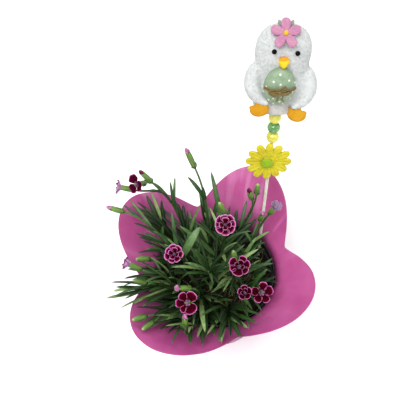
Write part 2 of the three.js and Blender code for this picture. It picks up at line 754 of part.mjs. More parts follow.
function footOutline() {
  const { width, height } = bird.foot;
  const shape = new THREE.Shape();
  shape.moveTo(-0.36 * width, -0.5 * height);
  shape.quadraticCurveTo(0, -0.62 * height, 0.36 * width, -0.5 * height);
  shape.quadraticCurveTo(0.56 * width, -0.1 * height, 0.5 * width, 0.32 * height);
  shape.quadraticCurveTo(0.36 * width, 0.56 * height, 0.2 * width, 0.3 * height);
  shape.quadraticCurveTo(0, 0.72 * height, -0.2 * width, 0.3 * height);
  shape.quadraticCurveTo(-0.36 * width, 0.56 * height, -0.5 * width, 0.32 * height);
  shape.quadraticCurveTo(-0.56 * width, -0.1 * height, -0.36 * width, -0.5 * height);
  return shape;
}

function flatSolid(outline, depth, extra = 0) {
  const flat = new THREE.ExtrudeGeometry(outline, {
    depth: depth + 2 * extra, bevelEnabled: false, curveSegments: 3 });
  return flat.rotateX(Math.PI / 2).translate(0, extra, 0);
}

function footSolid(side, extra = 0) {
  const { x, y, z, depth, tilt } = bird.foot;
  const scale = 1 + extra / 5;
  const foot = flatSolid(footOutline(), depth, extra).scale(scale, 1, scale);
  foot.rotateX(-tilt * degree).rotateY(side * 8 * degree);
  return toSolid(foot.translate(side * x - 1, y, z - side * 2.4));
}

function beakSolid(extra = 0) {
  const { centre, width, height, depth } = bird.beak;
  const [w, h] = [width / 2 + extra, height / 2 + extra];
  const back = 3 + extra;
  const ring = [vec(w * 0.8, back, 0), vec(0, back, h * 0.8), vec(-w * 0.8, back, 0),
    vec(0, back, -h * 0.8)];
  const front = [vec(w, 0, 0), vec(0, 0, h), vec(-w, 0, 0), vec(0, 0, -h)];
  return toSolid(loft([ring, front, [vec(0, -depth - extra, -0.6)]]).translate(...centre));
}

function blossomOutline(radius) {
  const shape = new THREE.Shape();
  const count = 5;
  for (let i = 0; i < count; i += 1) {
    const middle = (90 + (i * 360) / count) * degree;
    const at = (turn, part) => [
      radius * part * Math.cos(middle + turn * degree),
      radius * part * Math.sin(middle + turn * degree)];
    const start = at(-36, 0.46);
    if (i === 0) shape.moveTo(...start);
    else shape.lineTo(...start);
    shape.bezierCurveTo(...at(-38, 1.12), ...at(-12, 1.05), ...at(0, 1));
    shape.bezierCurveTo(...at(12, 1.05), ...at(38, 1.12), ...at(36, 0.46));
  }
  return shape;
}

function headFlower(extra = 0) {
  const { centre, radius, thickness, tilt } = bird.flower;
  const flat = flatSolid(blossomOutline(radius + extra), thickness, extra);
  return toSolid(flat.rotateX(-tilt * degree).translate(...centre));
}

function headLeaf(side, extra = 0) {
  const flat = new THREE.Shape();
  const [w, h] = [3.3 + extra, 11.5 + extra];
  flat.moveTo(0, -extra);
  flat.quadraticCurveTo(w * 1.5, h * 0.45, 0, h);
  flat.quadraticCurveTo(-w * 1.5, h * 0.45, 0, -extra);
  const leaf = flatSolid(flat, 1.4, extra).rotateY(side * 24 * degree);
  return toSolid(leaf.translate(side * 2.2 - 1, -2.4, 240));
}

function twineSolid() {
  const { centre, radii } = bird.egg;
  const radius = 0.75;
  const level = 198.5;
  const share = Math.sqrt(1 - ((level - centre[2]) / radii[2]) ** 2);
  const [rx, ry] = [radii[0] * share + radius + seatGap, radii[1] * share + radius + seatGap];
  const band = Array.from({ length: 7 }, (_, i) => {
    const angle = (205 + i * 21.7) * degree;
    return vec(centre[0] + rx * Math.cos(angle), centre[1] + ry * Math.sin(angle), level);
  });
  const front = centre[1] - ry - 0.4;
  const knot = vec(centre[0] - 0.6, front, level);
  const bow = (side, lift) => [knot, vec(knot.x + side * 4, front - 0.9, level + lift + 2.2),
    vec(knot.x + side * 7.4, front - 0.5, level + lift), vec(knot.x + side * 4, front - 0.8, level - 0.6),
    knot];
  const tail = (side) => [knot, vec(knot.x + side * 2.4, front - 0.8, level - 3),
    vec(knot.x + side * 4.6, front - 0.2, level - 5.4)];
  const lines = [band, bow(-1, 0.2), bow(1, 1.2), tail(-1), tail(1)];
  const cords = lines.map((points) => (
    toSolid(cord(new THREE.CatmullRomCurve3(points), radius, 4, points.length - 1))));
  return joined([...cords, toSolid(ellipsoid(knot.toArray(), [1.5, 1.3, 1.4], 6, 4))]);
}

function wingSkin(side, extra = 0) {
  const points = bird.wing.map(([x, y, z]) => vec(side * x, y, z - side * bird.wingDrop));
  const radii = bird.wing.map((point) => point[3] + extra);
  const curve = new THREE.CatmullRomCurve3(points);
  const rings = points.map((at, i) => (
    ringAbout(at, curve.getTangent(i / (points.length - 1)), radii[i], 8)));
  const [start, end] = [curve.getTangent(0), curve.getTangent(1)];
  return toSolid(loft([
    [points[0].clone().addScaledVector(start, -0.8 * radii[0])],
    ...rings,
    [points[4].clone().addScaledVector(end, 0.8 * radii[4])]]));
}

function birdPieces() {
  const { egg, eye } = bird;
  const eyeSkin = (side, extra = 0) => toSolid(ellipsoid(
    [side * eye.x, eye.y, eye.z - side * 0.6], grown([eye.radius, eye.radius, eye.radius], extra), 7, 5));
  const eggSkin = (extra = 0) => toSolid(ellipsoid(egg.centre, grown(egg.radii, extra), 14, 8));
  const wide = seatGap + 0.1;
  const stickHole = new THREE.CylinderGeometry(pick.bore, pick.bore, 24, 10).rotateX(Math.PI / 2);
  const twineRoom = toSolid(ellipsoid(
    [egg.centre[0], egg.centre[1], 198.5], [egg.radii[0] + 2.4, egg.radii[1] + 2.4, 2.2], 12, 4));
  const cut = (solid, ...tools) => biggest(tools.reduce((left, tool) => left.subtract(tool), solid));
  const sides = [-1, 1];
  const footRoom = (side) => footSolid(side, wide).hull();
  const core = toSolid(turned(bird.outline, 14).scale(1, bird.depth, 1));
  const coreRoom = toSolid(turned(
    bird.outline.map(([radius, height]) => [radius && radius + wide / bird.depth, height]), 14)
    .scale(1, bird.depth, 1));
  const wing = (side) => cut(wingSkin(side), coreRoom, eggSkin(wide), footRoom(side), twineRoom);
  const plush = cut(core, eggSkin(wide), headFlower(wide), beakSolid(wide), twineRoom,
    toSolid(stickHole.translate(0, 0, pick.stickTop + 0.4 - 12)),
    ...sides.flatMap((side) => [eyeSkin(side, wide), footRoom(side), headLeaf(side, wide)]));
  const leaves = joined(sides.map((side) => headLeaf(side)));
  return {
    bird_body: [plush, finish.plush],
    bird_wing_left: [wing(-1), finish.plush],
    bird_wing_right: [wing(1), finish.plush],
    bird_foot_left: [footSolid(-1), finish.orangeFelt],
    bird_foot_right: [footSolid(1), finish.orangeFelt],
    bird_beak: [beakSolid(), finish.beak],
    bird_eye_left: [eyeSkin(-1), finish.eye],
    bird_eye_right: [eyeSkin(1), finish.eye],
    egg: [eggSkin(), finish.egg],
    twine_bow: [twineSolid(), finish.twine],
    head_flower: [headFlower(), finish.pinkFelt],
    head_leaves: [cut(leaves, headFlower(wide)), finish.silver],
  };
}

function headFlowerCentre() {
  const { centre, thickness, tilt } = bird.flower;
  const dome = domeFacingFront(2.2, 1.6, -thickness - seatGap, 0, 0);
  return dome.rotateX(-tilt * degree).translate(...centre);
}

// ---- assembly -------------------------------------------------------------

const part = new THREE.Group();

function addPiece(name, shape, look, parent = part) {
  const geometry = shape.isBufferGeometry ? shape : toGeometry(shape);
  const mesh = new THREE.Mesh(geometry, look);
  mesh.name = name;
  parent.add(mesh);
  return mesh;
}

addPiece('film_sleeve', sleeve(), finish.film);
addPiece('pot', flowerpot(), finish.pot);

growLeaves();

// The hole that a stem stands in follows it from just below its foot.
function rootHole({ ends: [{ curve }] }) {
  const ring = (t, below) => {
    const along = curve.getTangent(t);
    const centre = curve.getPoint(t).addScaledVector(along, -below);
    return ringAbout(centre, along, stalk.radius + soil.holeGap, stalk.sides);
  };
  const rings = [ring(0, soil.holeGap), ring(1 / stalk.runs, 0)];
  if (rings[1][0].z < soil.height + 4) rings.push(ring(2 / stalk.runs, 0));
  return toSolid(loft(rings));
}

const stickHole = new THREE.CylinderGeometry(pick.bore + 0.3, pick.bore + 0.3, 60, 6).rotateX(Math.PI / 2);
stickHole.translate(0, 0, pick.stickBottom - pick.point - 0.5 + 30).applyQuaternion(pickTurn);
stickHole.translate(...pick.foot);
const holes = [...stems.map(rootHole), toSolid(stickHole)];
addPiece('soil', biggest(holes.reduce((left, hole) => left.subtract(hole), earth())), finish.soil);

stems.forEach((stem) => {
  const skins = stem.ends.map((end) => toSolid(stemSkin(end)));
  const blades = stem.leaves.map((leaf) => toSolid(bladeSkin(leaf)));
  addPiece(stem.name, joined([...skins, ...blades]), finish.leaf);
});

const flowerEnds = stems.flatMap((stem) => stem.ends.filter((end) => end.open || end.tip));
const counts = { corolla: 0, bud_tip: 0 };
flowerEnds.forEach((end) => {
  const kind = end.open ? 'corolla' : 'bud_tip';
  counts[kind] += 1;
  const look = end.open ? (end.pale ? finish.lilac : finish.petal) : finish[end.tip];
  const skin = end.open ? corollaSkin(end) : budTipSkin();
  const mesh = addPiece(`${kind}_${counts[kind]}`, skin, look);
  mesh.position.set(...end.at);
  mesh.quaternion.setFromUnitVectors(vec(0, 0, 1), vec(...end.face).normalize());
});

const pickGroup = new THREE.Group();
pickGroup.position.set(...pick.foot);
pickGroup.quaternion.copy(pickTurn);
part.add(pickGroup);

const stickLength = pick.stickTop - pick.stickBottom;
const stick = turned([[0, -pick.point], [pick.stickRadius, 2], [pick.stickRadius, stickLength],
  [0, stickLength]], 8);
addPiece('stick', stick.translate(0, 0, pick.stickBottom), finish.stick, pickGroup);
addPiece('daisy_petals', daisyPetals(), finish.yellowFelt, pickGroup);
addPiece('daisy_centre', domeFacingFront(daisy.hub, 2.6,
  -pick.stickRadius - daisy.thickness - 2 * seatGap, daisy.centre[0] + daisy.hubAside,
  daisy.centre[1]), finish.limeFelt, pickGroup);
['lower', 'middle', 'upper'].forEach((name, i) => {
  const look = i === 1 ? finish.greenBead : finish.yellowBead;
  const ring = addPiece(`bead_${name}`, beadSkin(), look, pickGroup);
  ring.position.set(0, 0, bead.first + i * bead.step);
});
Object.entries(birdPieces()).forEach(([name, [solid, look]]) => addPiece(name, solid, look, pickGroup));
addPiece('head_flower_centre', headFlowerCentre(), finish.beak, pickGroup);

export default part;
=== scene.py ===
# A pot of dwarf pinks in a lobed film sleeve, with a fleece bird on a stick.
import math

import bpy
import numpy as np
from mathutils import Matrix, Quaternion, Vector, noise


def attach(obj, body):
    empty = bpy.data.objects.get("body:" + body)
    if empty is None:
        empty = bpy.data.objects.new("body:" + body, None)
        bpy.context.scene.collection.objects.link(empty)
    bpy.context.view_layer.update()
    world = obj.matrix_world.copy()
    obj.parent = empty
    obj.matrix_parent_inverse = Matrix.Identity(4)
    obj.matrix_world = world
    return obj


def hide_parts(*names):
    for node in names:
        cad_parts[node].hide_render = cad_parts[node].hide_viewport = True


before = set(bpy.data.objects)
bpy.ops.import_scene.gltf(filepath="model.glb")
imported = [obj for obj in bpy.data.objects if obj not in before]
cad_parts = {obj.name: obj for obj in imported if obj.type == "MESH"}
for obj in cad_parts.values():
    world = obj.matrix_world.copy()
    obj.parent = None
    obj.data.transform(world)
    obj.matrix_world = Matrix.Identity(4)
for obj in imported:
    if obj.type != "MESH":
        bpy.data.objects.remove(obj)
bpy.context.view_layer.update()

millimetre = 0.001
degree = math.pi / 180
print("the packed part is loaded")


# nodes and finishes

class Wire:  # a node's output that sums can be written with
    def __init__(self, graph, socket):
        self.graph, self.socket = graph, socket

    def __add__(self, other): return self.graph.maths("ADD", self, other)
    def __radd__(self, other): return self.graph.maths("ADD", other, self)
    def __sub__(self, other): return self.graph.maths("SUBTRACT", self, other)
    def __rsub__(self, other): return self.graph.maths("SUBTRACT", other, self)
    def __mul__(self, other): return self.graph.maths("MULTIPLY", self, other)
    def __rmul__(self, other): return self.graph.maths("MULTIPLY", other, self)
    def __pow__(self, other): return self.graph.maths("POWER", self, other)
    def __abs__(self): return self.graph.maths("ABSOLUTE", self)


class Graph:  # a node tree that is filled by one method
    def __init__(self, tree):
        self.tree = tree

    def node(self, kind, values=None, out=0, stops=(), **settings):
        made = self.tree.nodes.new(kind)
        for key, value in settings.items():
            setattr(made, key, value)
        if stops:
            elements = made.color_ramp.elements
            while len(elements) < len(stops):
                elements.new(1)
            for element, stop in zip(elements, stops):
                element.position, element.color = stop
        for key, value in (values or {}).items():
            if isinstance(value, Wire):
                self.tree.links.new(value.socket, made.inputs[key])
            else:
                made.inputs[key].default_value = value
        return Wire(self, made.outputs[out])

    def maths(self, operation, *numbers):
        return self.node("ShaderNodeMath", dict(enumerate(numbers)), operation=operation)

    def parts(self, wire):  # a vector's three numbers
        split = self.node("ShaderNodeSeparateXYZ", {0: wire}).socket.node
        return [Wire(self, output) for output in split.outputs]

    def vector(self, operation, first, second):
        other = "Scale" if operation == "SCALE" else 1
        return self.node("ShaderNodeVectorMath", {0: first, other: second}, operation=operation)

    def step(self, wire, low, high):  # from 0 at low to 1 at high, smoothly
        return self.node("ShaderNodeMapRange", {"Value": wire, "From Min": low, "From Max": high},
                         interpolation_type="SMOOTHSTEP")


def shade(text):  # a colour as written on screen, made linear
    parts = [int(text[i:i + 2], 16) / 255 for i in (0, 2, 4)]
    return tuple(c / 12.92 if c <= 0.04045 else ((c + 0.055) / 1.055) ** 2.4 for c in parts)


def painted(colour):  # as a node takes it, from a wire, a linear colour or a written one
    if isinstance(colour, Wire):
        return colour
    return (*(shade(colour) if isinstance(colour, str) else colour), 1)


class Finish(Graph):  # a material: its shader and the patterns that feed it
    def __init__(self, name):
        self.material = bpy.data.materials.new(name)
        self.material.use_nodes = True
        super().__init__(self.material.node_tree)
        self.shader = self.tree.nodes["Principled BSDF"]
        self.place = self.node("ShaderNodeTexCoord", out="Object")

    def feed(self, colour, roughness, height=None, strength=0, distance=0, **sockets):
        sockets.update(Base_Color=colour, Roughness=roughness)
        if height is not None:
            sockets["Normal"] = self.node("ShaderNodeBump", {
                "Height": height, "Strength": strength, "Distance": distance})
        for key, value in sockets.items():
            socket = self.shader.inputs[key.replace("_", " ")]
            if isinstance(value, Wire):
                self.tree.links.new(value.socket, socket)
            else:
                socket.default_value = value
        return self.material

    def grain(self, scale, detail=3, roughness=0.55, where=None):
        values = {"Vector": where or self.place, "Scale": scale, "Detail": detail, "Roughness": roughness}
        return self.node("ShaderNodeTexNoise", values)

    def stretched(self, where, scale):
        return self.node("ShaderNodeMapping", {"Vector": where, "Scale": scale})

    def mix(self, factor, first, second):
        return self.node("ShaderNodeMix", {0: factor, 6: painted(first), 7: painted(second)}, out=2,
                         data_type="RGBA")

    def ramp(self, factor, *stops):
        stops = [(place, painted(colour)) for place, colour in stops]
        return self.node("ShaderNodeValToRGB", {0: factor}, stops=stops)

    def attribute(self, name):
        return self.node("ShaderNodeAttribute", out="Fac", attribute_name=name)

    def onPiece(self):  # across and along a leaf or petal, each from 0 to 1
        uv = self.node("ShaderNodeUVMap", uv_map="growth")
        return uv, *self.parts(uv)[:2]


def plainFinish(name, light, dark, scale, roughness, **sockets):
    look = Finish(name)
    return look.feed(look.mix(look.grain(scale), light, dark), roughness, **sockets)


# surfaces

class Skin:  # gathers the surfaces that one piece is made of, in millimetres
    def __init__(self):
        self.points, self.faces, self.looks = [], [], []
        self.growth, self.tint, self.count = [], [], 0

    def add(self, points, faces, look=0, across=0.5, along=0.5, tint=0.5):
        points = np.asarray(points, float).reshape(-1, 3)
        size = len(points)
        self.points.append(points)
        self.faces += [tuple(i + self.count for i in face) for face in faces]
        self.looks += look if isinstance(look, list) else [look] * len(faces)
        self.growth.append(np.stack([np.broadcast_to(np.ravel(across), size),
                                     np.broadcast_to(np.ravel(along), size)], 1))
        self.tint.append(np.full(size, tint))
        self.count += size

    def tube(self, rings, **paint):
        rings = np.asarray(rings)
        self.add(rings, ringFaces(*rings.shape[:2]), **paint)

    def piece(self, name, *materials, turn=None):
        points = np.concatenate(self.points)
        if turn:
            points = turn(points)
        mesh = bpy.data.meshes.new(name)
        mesh.from_pydata((points * millimetre).tolist(), [], self.faces)
        growth, tint = np.concatenate(self.growth), np.concatenate(self.tint)
        corners = np.zeros(len(mesh.loops), int)
        mesh.loops.foreach_get("vertex_index", corners)
        mesh.uv_layers.new(name="growth").data.foreach_set("uv", growth[corners].ravel())
        mesh.attributes.new("tint", "FLOAT", "POINT").data.foreach_set("value", tint)
        for material in materials:
            mesh.materials.append(material)
        mesh.polygons.foreach_set("material_index", self.looks)
        mesh.polygons.foreach_set("use_smooth", [True] * len(self.faces))
        return placed(name, mesh)


def placed(name, data):  # a new object in the scene
    made = bpy.data.objects.new(name, data)
    bpy.context.scene.collection.objects.link(made)
    return made


def tubeSkin(*forms):  # a skin of closed tubes, each from its rings
    skin = Skin()
    for rings in forms:
        skin.tube(rings)
    return skin


def circle(count):  # the angles of that many points round a circle
    return np.arange(count) / count * 2 * math.pi


def around(radius, angle, height):  # points by radius, angle and height
    return np.stack(np.broadcast_arrays(radius * np.cos(angle), radius * np.sin(angle), height), -1)


def ringFaces(rows, columns):  # rings run anticlockwise about the way they follow
    faces = [(i * columns + j, i * columns + (j + 1) % columns,
              (i + 1) * columns + (j + 1) % columns, (i + 1) * columns + j)
             for i in range(rows - 1) for j in range(columns)]
    return faces + [tuple(range(columns - 1, -1, -1)),
                    tuple((rows - 1) * columns + j for j in range(columns))]


def turned(profile, columns):  # rings about Z from radius and height, each a number or a rule
    angles = circle(columns)
    rings = []
    for point in profile:
        radius, height = (value(angles) if callable(value) else value for value in point)
        rings.append(around(radius, angles, height))
    return np.array(rings)


def sheetGrid(top, bottom):  # a thin solid between two grids that share their border
    rows, columns = top.shape[:2]
    over = np.arange(rows * columns).reshape(rows, columns)
    under = over.copy()
    under[1:-1, 1:-1] = rows * columns + np.arange((rows - 2) * (columns - 2)).reshape(rows - 2, -1)

    def squares(grid, order):
        corners = np.stack([grid[:-1, :-1], grid[1:, :-1], grid[1:, 1:], grid[:-1, 1:]], -1)
        return corners.reshape(-1, 4)[:, order].tolist()

    points = np.concatenate([top.reshape(-1, 3), bottom[1:-1, 1:-1].reshape(-1, 3)])
    return points, squares(over, (0, 1, 2, 3)), squares(under, (0, 3, 2, 1))


def meshOf(modified, name):  # the mesh that an object's modifiers leave
    graph = bpy.context.evaluated_depsgraph_get()
    mesh = bpy.data.meshes.new_from_object(modified.evaluated_get(graph))
    mesh.name = name
    return mesh


def pieceFrom(modified, name, material):  # the piece with its modifiers applied
    mesh = meshOf(modified, name)
    bpy.data.objects.remove(modified)
    mesh.materials.clear()
    mesh.materials.append(material)
    mesh.polygons.foreach_set("use_smooth", [True] * len(mesh.polygons))
    return placed(name, mesh)


def grownTree(name, sizes):  # a geometry tree with named inputs, and its input wires
    tree = bpy.data.node_groups.new(name, "GeometryNodeTree")
    tree.interface.new_socket("Geometry", in_out="INPUT", socket_type="NodeSocketGeometry")
    tree.interface.new_socket("Geometry", in_out="OUTPUT", socket_type="NodeSocketGeometry")
    kinds = {int: "NodeSocketInt", float: "NodeSocketFloat"}
    sockets = {key: tree.interface.new_socket(key, in_out="INPUT", socket_type=kinds[type(value)])
               for key, value in sizes.items()}
    graph = Graph(tree)
    entry = tree.nodes.new("NodeGroupInput")
    wires = {socket.name: Wire(graph, socket) for socket in entry.outputs if socket.name}
    return graph, wires, sockets


def runTree(graph, sockets, sizes, result, base, name, material):  # applied to a plain mesh
    whole = graph.node("GeometryNodeRealizeInstances", {0: result})
    covered = graph.node("GeometryNodeSetMaterial", {0: whole, "Material": material})
    leave = graph.tree.nodes.new("NodeGroupOutput")
    graph.tree.links.new(covered.socket, leave.inputs[0])
    modifier = base.modifiers.new(name, "NODES")
    modifier.node_group = graph.tree
    for key, value in sizes.items():
        modifier[sockets[key].identifier] = value
    mesh = meshOf(base, name)
    base.modifiers.remove(modifier)
    return placed(name, mesh)


def seat(piece, slot, *nodes):  # the piece belongs to the part, and stands for these nodes
    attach(piece, "root")
    if nodes:
        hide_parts(*nodes)
    return piece


def draw(a, b, c):  # a repeatable draw between 0 and 1 for three whole numbers
    wave = math.sin(12.9898 * a + 78.233 * b + 37.719 * c + 4.1) * 43758.5453
    return wave - math.floor(wave)


def unit(v):
    v = np.asarray(v, float)
    return v / np.linalg.norm(v)


def waysAcross(axis):  # two ways that are square to an axis, and to each other
    u = unit(np.cross((0, 1, 0), axis))
    return u, np.cross(axis, u)


def ringAbout(centre, axis, radius, sides):
    (u, v), angles = waysAcross(axis), circle(sides)
    return centre + radius * (np.cos(angles)[:, None] * u + np.sin(angles)[:, None] * v)


# camera, lights and floor

camera = {  # in millimetres and degrees
    "place": (-1.787, -287.901, 658.784), "lookDown": 56.7, "roll": -6, "fieldOfView": 38,
}


def setCamera():
    down = camera["lookDown"] * degree
    ahead = Vector((0, math.cos(down), -math.sin(down)))
    data = bpy.data.cameras.new("camera")
    data.sensor_width = 36
    data.lens = 18 / math.tan(camera["fieldOfView"] / 2 * degree)
    data.clip_start, data.clip_end = 0.01, 20
    made = placed("camera", data)
    made.location = Vector(camera["place"]) * millimetre
    made.rotation_mode = "QUATERNION"
    made.rotation_quaternion = (Quaternion(ahead, -camera["roll"] * degree)
                                @ ahead.to_track_quat("-Z", "Y"))
    bpy.context.scene.camera = made


lights = [  # name, where it stands in metres, its width in metres, its power in watts
    ("key", (-1.0, -1.3, 3.6), 2.6, 165),
    ("fill", (2.6, -1.0, 2.4), 2.6, 36),
    ("back", (0.3, 2.6, 2.6), 2.4, 36),
]


studio = {"aim": (0, 0, 0.12), "daylight": 0.5, "backdrop": 0.5, "floorHalf": 2.4}


def setLights():
    for name, place, width, power in lights:
        data = bpy.data.lights.new(name, "AREA")
        data.shape, data.size, data.energy = "DISK", width, power
        made = placed(name, data)
        made.location = place
        made.rotation_mode = "QUATERNION"
        made.rotation_quaternion = (Vector(studio["aim"]) - Vector(place)).to_track_quat("-Z", "Y")
    world = bpy.data.worlds.new("studio")
    world.use_nodes = True
    background = world.node_tree.nodes["Background"]
    background.inputs[0].default_value = (1, 1, 1, 1)
    graph = Graph(world.node_tree)
    seen = graph.node("ShaderNodeLightPath", out="Is Camera Ray")  # the backdrop is brighter than its light
    strength = studio["daylight"] + studio["backdrop"] * seen
    graph.tree.links.new(strength.socket, background.inputs[1])
    bpy.context.scene.world = world
    bpy.context.scene.view_settings.view_transform = "Standard"


def layFloor():
    look = Finish("pale_floor")
    look.feed(look.mix(look.grain(3) * 0.3, (0.95, 0.95, 0.95), (0.93, 0.93, 0.93)), 0.9)
    mesh = bpy.data.meshes.new("floor")
    half = studio["floorHalf"]
    corners = [(-half, -half, 0), (half, -half, 0), (half, half, 0), (-half, half, 0)]
    mesh.from_pydata(corners, [], [(0, 1, 2, 3)])
    mesh.materials.append(look.material)
    floor = placed("floor", mesh)


setCamera()
setLights()
layFloor()
print("camera, lights and floor are set")


# film sleeve

film = {  # lengths in millimetres, firstLobe in degrees
    "sheet": 0.45, "potRim": 60, "baseRadius": 42, "neckRadius": 61.4, "neckStart": 90,
    "rimHeight": 100, "notchRadius": (73.5, 73.5, 82, 73.5), "fullness": 1.35, "firstLobe": 54.7,
    "lobeRadius": (104.3, 105.5, 114.75, 104), "lobeSlope": (1.27, 1.13, 0.96, 0.81),
    "columns": 320, "cupRows": 14, "brimRows": 22, "crease": 0.9, "pleat": 0.5,
}


def lobeAt(angle):
    turns = (angle / degree - film["firstLobe"]) / 90
    whole = np.floor(turns + 0.5)
    return whole.astype(int) % 4, (turns - whole) * 90


def filmReach(angle):
    lobe, off = lobeAt(angle)
    part = np.abs(np.cos(2 * off * degree)) ** film["fullness"]
    notch = np.array(film["notchRadius"])[np.where(off > 0, lobe, (lobe + 3) % 4)]
    return notch + (np.array(film["lobeRadius"])[lobe] - notch) * part


def filmSlope(angle):
    lobe, off = lobeAt(angle)
    slope, blend = np.array(film["lobeSlope"]), np.abs(off) / 90
    return slope[lobe] * (1 - blend) + slope[(lobe + np.where(off > 0, 1, 3)) % 4] * blend


def filmHeight(radius, angle):
    return film["rimHeight"] + filmSlope(angle) * (radius - film["potRim"])


def filmFinish():
    look = Finish("pink_film")
    x, y, z = look.parts(look.place)
    reach = (x * x + y * y) ** 0.5
    cloudy = look.grain(18, 4)
    pink = look.mix(look.step(cloudy, 0.3, 0.72), "ae4783", "ba5c94")
    pale = look.mix(look.step(z, 0.055, 0.012), pink, "e3b4cc")  # painted light through the thin cup: paler towards the bottom, away from the pot
    potShade = look.step(reach, 0.0675, 0.0615) * look.step(z, 0.112, 0.1015)  # painted shade over the pot: the black pot behind the film and the shadow of its rim
    colour = look.mix(potShade * 0.62, pale, "6d2450")
    cut = look.attribute("tint")  # the cut edge, seen through the film's whole width
    colour = look.mix(cut * 0.75, colour, "8f2264")
    creases = look.grain(55, 2, where=look.stretched(look.place, (1, 1, 0.4)))
    turn = look.maths("ARCTAN2", y, x)
    fluted = look.node("ShaderNodeCombineXYZ", {0: turn * 7, 1: reach * 14, 2: z * 6})
    flutes = look.grain(1, 2, where=fluted)
    # painted highlights on the flutes, stronger high up and towards the back
    lit = look.step(z, 0.1, 0.13) * (0.08 + 0.4 * look.step(y, -0.03, 0.05))
    colour = look.mix(look.step(flutes, 0.5, 0.68) * lit, colour, "cf86b4")
    # painted shade: deeper colour on the film's front side
    colour = look.mix(look.step(y, -0.05, -0.09) * 0.35, colour, "a3347a")
    fan = look.node("ShaderNodeCombineXYZ", {0: turn * 17, 1: reach * 110})
    nearPot = look.step(reach, 0.094, 0.074) * look.step(look.grain(26, 1), 0.46, 0.56)
    lines = look.step(abs(look.grain(1, 2, where=fan) - 0.5), 0.03, 0.004) * nearPot  # fine wrinkles, darkened with painted shade in their creases
    colour = look.mix(lines * 0.3, colour, "8c3a6c")
    fine = look.grain(900, 2)
    return look.feed(colour, 0.4 + 0.16 * cloudy, creases + flutes + 0.06 * fine - 0.25 * lines, 0.45, 0.0016,
                     Specular_IOR_Level=0.4)


def filmSleeve():
    angles = circle(film["columns"])

    def rough(at, scale, seed):
        return np.array([noise.noise(Vector(p) * scale + Vector((seed, 0, 0))) for p in at])

    def ring(radius, height, outwards=0, risen=0):  # outwards and risen: how far soft creases move it
        at, fan = around(radius, angles, height), around(60, angles, height * 0.25)
        wave = rough(fan, 0.085, 3) + 0.6 * rough(at, 0.05, 9)
        return around(radius + outwards * wave, angles, height + risen * wave)

    reach, base, neck, foot = filmReach(angles), film["baseRadius"], film["neckRadius"], 0.6
    outside = [ring(0.5, 0), ring(20, 0), ring(base - 1, 0), ring(base, foot)]
    for i in range(1, film["cupRows"] + 1):
        part = i / film["cupRows"]
        outside.append(ring(base + (neck - base) * part, film["neckStart"] * part + foot * (1 - part),
                            film["pleat"] * math.sin(math.pi * part) ** 0.5 + 0.02))
    outside.append(ring(neck, film["rimHeight"] - 1.5))
    for i in range(1, film["brimRows"] + 1):
        part = (i / film["brimRows"]) ** 0.9
        radius = neck + (reach - neck) * part
        drop = 0.5 * math.exp(-part * 18)  # the fold where the neck turns out
        outside.append(ring(radius, filmHeight(radius, angles) - 0.4 - drop,
                            risen=film["crease"] * part ** 0.7 * 1.6))
    outside = np.array(outside)
    sideways = np.roll(outside, -1, 1) - np.roll(outside, 1, 1)
    inward = -np.cross(sideways, np.gradient(outside, axis=0))
    inward /= np.maximum(np.linalg.norm(inward, axis=2, keepdims=True), 1e-9)
    inward[:3] = (0, 0, 1)
    inside = outside + inward * film["sheet"]
    last = len(outside)
    rounded = (outside[-1] + inside[-1]) / 2 + 0.12 * unitRows(outside[-1] - outside[-2])
    rings = np.concatenate([outside, rounded[None], inside[::-1]])
    edge = np.zeros(rings.shape[:2])
    edge[last - 1:last + 2] = 1
    skin = tubeSkin(rings)
    skin.tint = [edge.ravel()]
    return skin


def unitRows(v):
    return v / np.linalg.norm(v, axis=-1, keepdims=True)


seat(filmSleeve().piece("film_wrap", filmFinish()), "film", "film_sleeve")
print("film sleeve is made")


# flowerpot

pot = {
    "bottom": 1.1, "baseRadius": 40.5, "shoulderRadius": 57, "rimRadius": 60, "shoulderHeight": 90,
    "height": 100, "wall": 1.3, "drainRadius": 4, "drainCircle": 26, "columns": 144,
}


def potFinish():
    look = Finish("black_plastic")
    z = look.parts(look.place)[2]
    dust = look.grain(160, 5, 0.65)
    scuffs = look.grain(90, 4, where=look.stretched(look.place, (1, 1, 6)))
    soiled = look.step(z, 0.0935, 0.086) * look.step(dust, 0.38, 0.62)
    colour = look.mix(look.step(scuffs, 0.55, 0.8) * 0.4, "131215", "3a393d")
    colour = look.mix(soiled * 0.8, colour, "3b2a1e")
    return look.feed(colour, 0.3 + 0.3 * dust + 0.3 * soiled, scuffs + 0.3 * dust, 0.25, 0.0006)


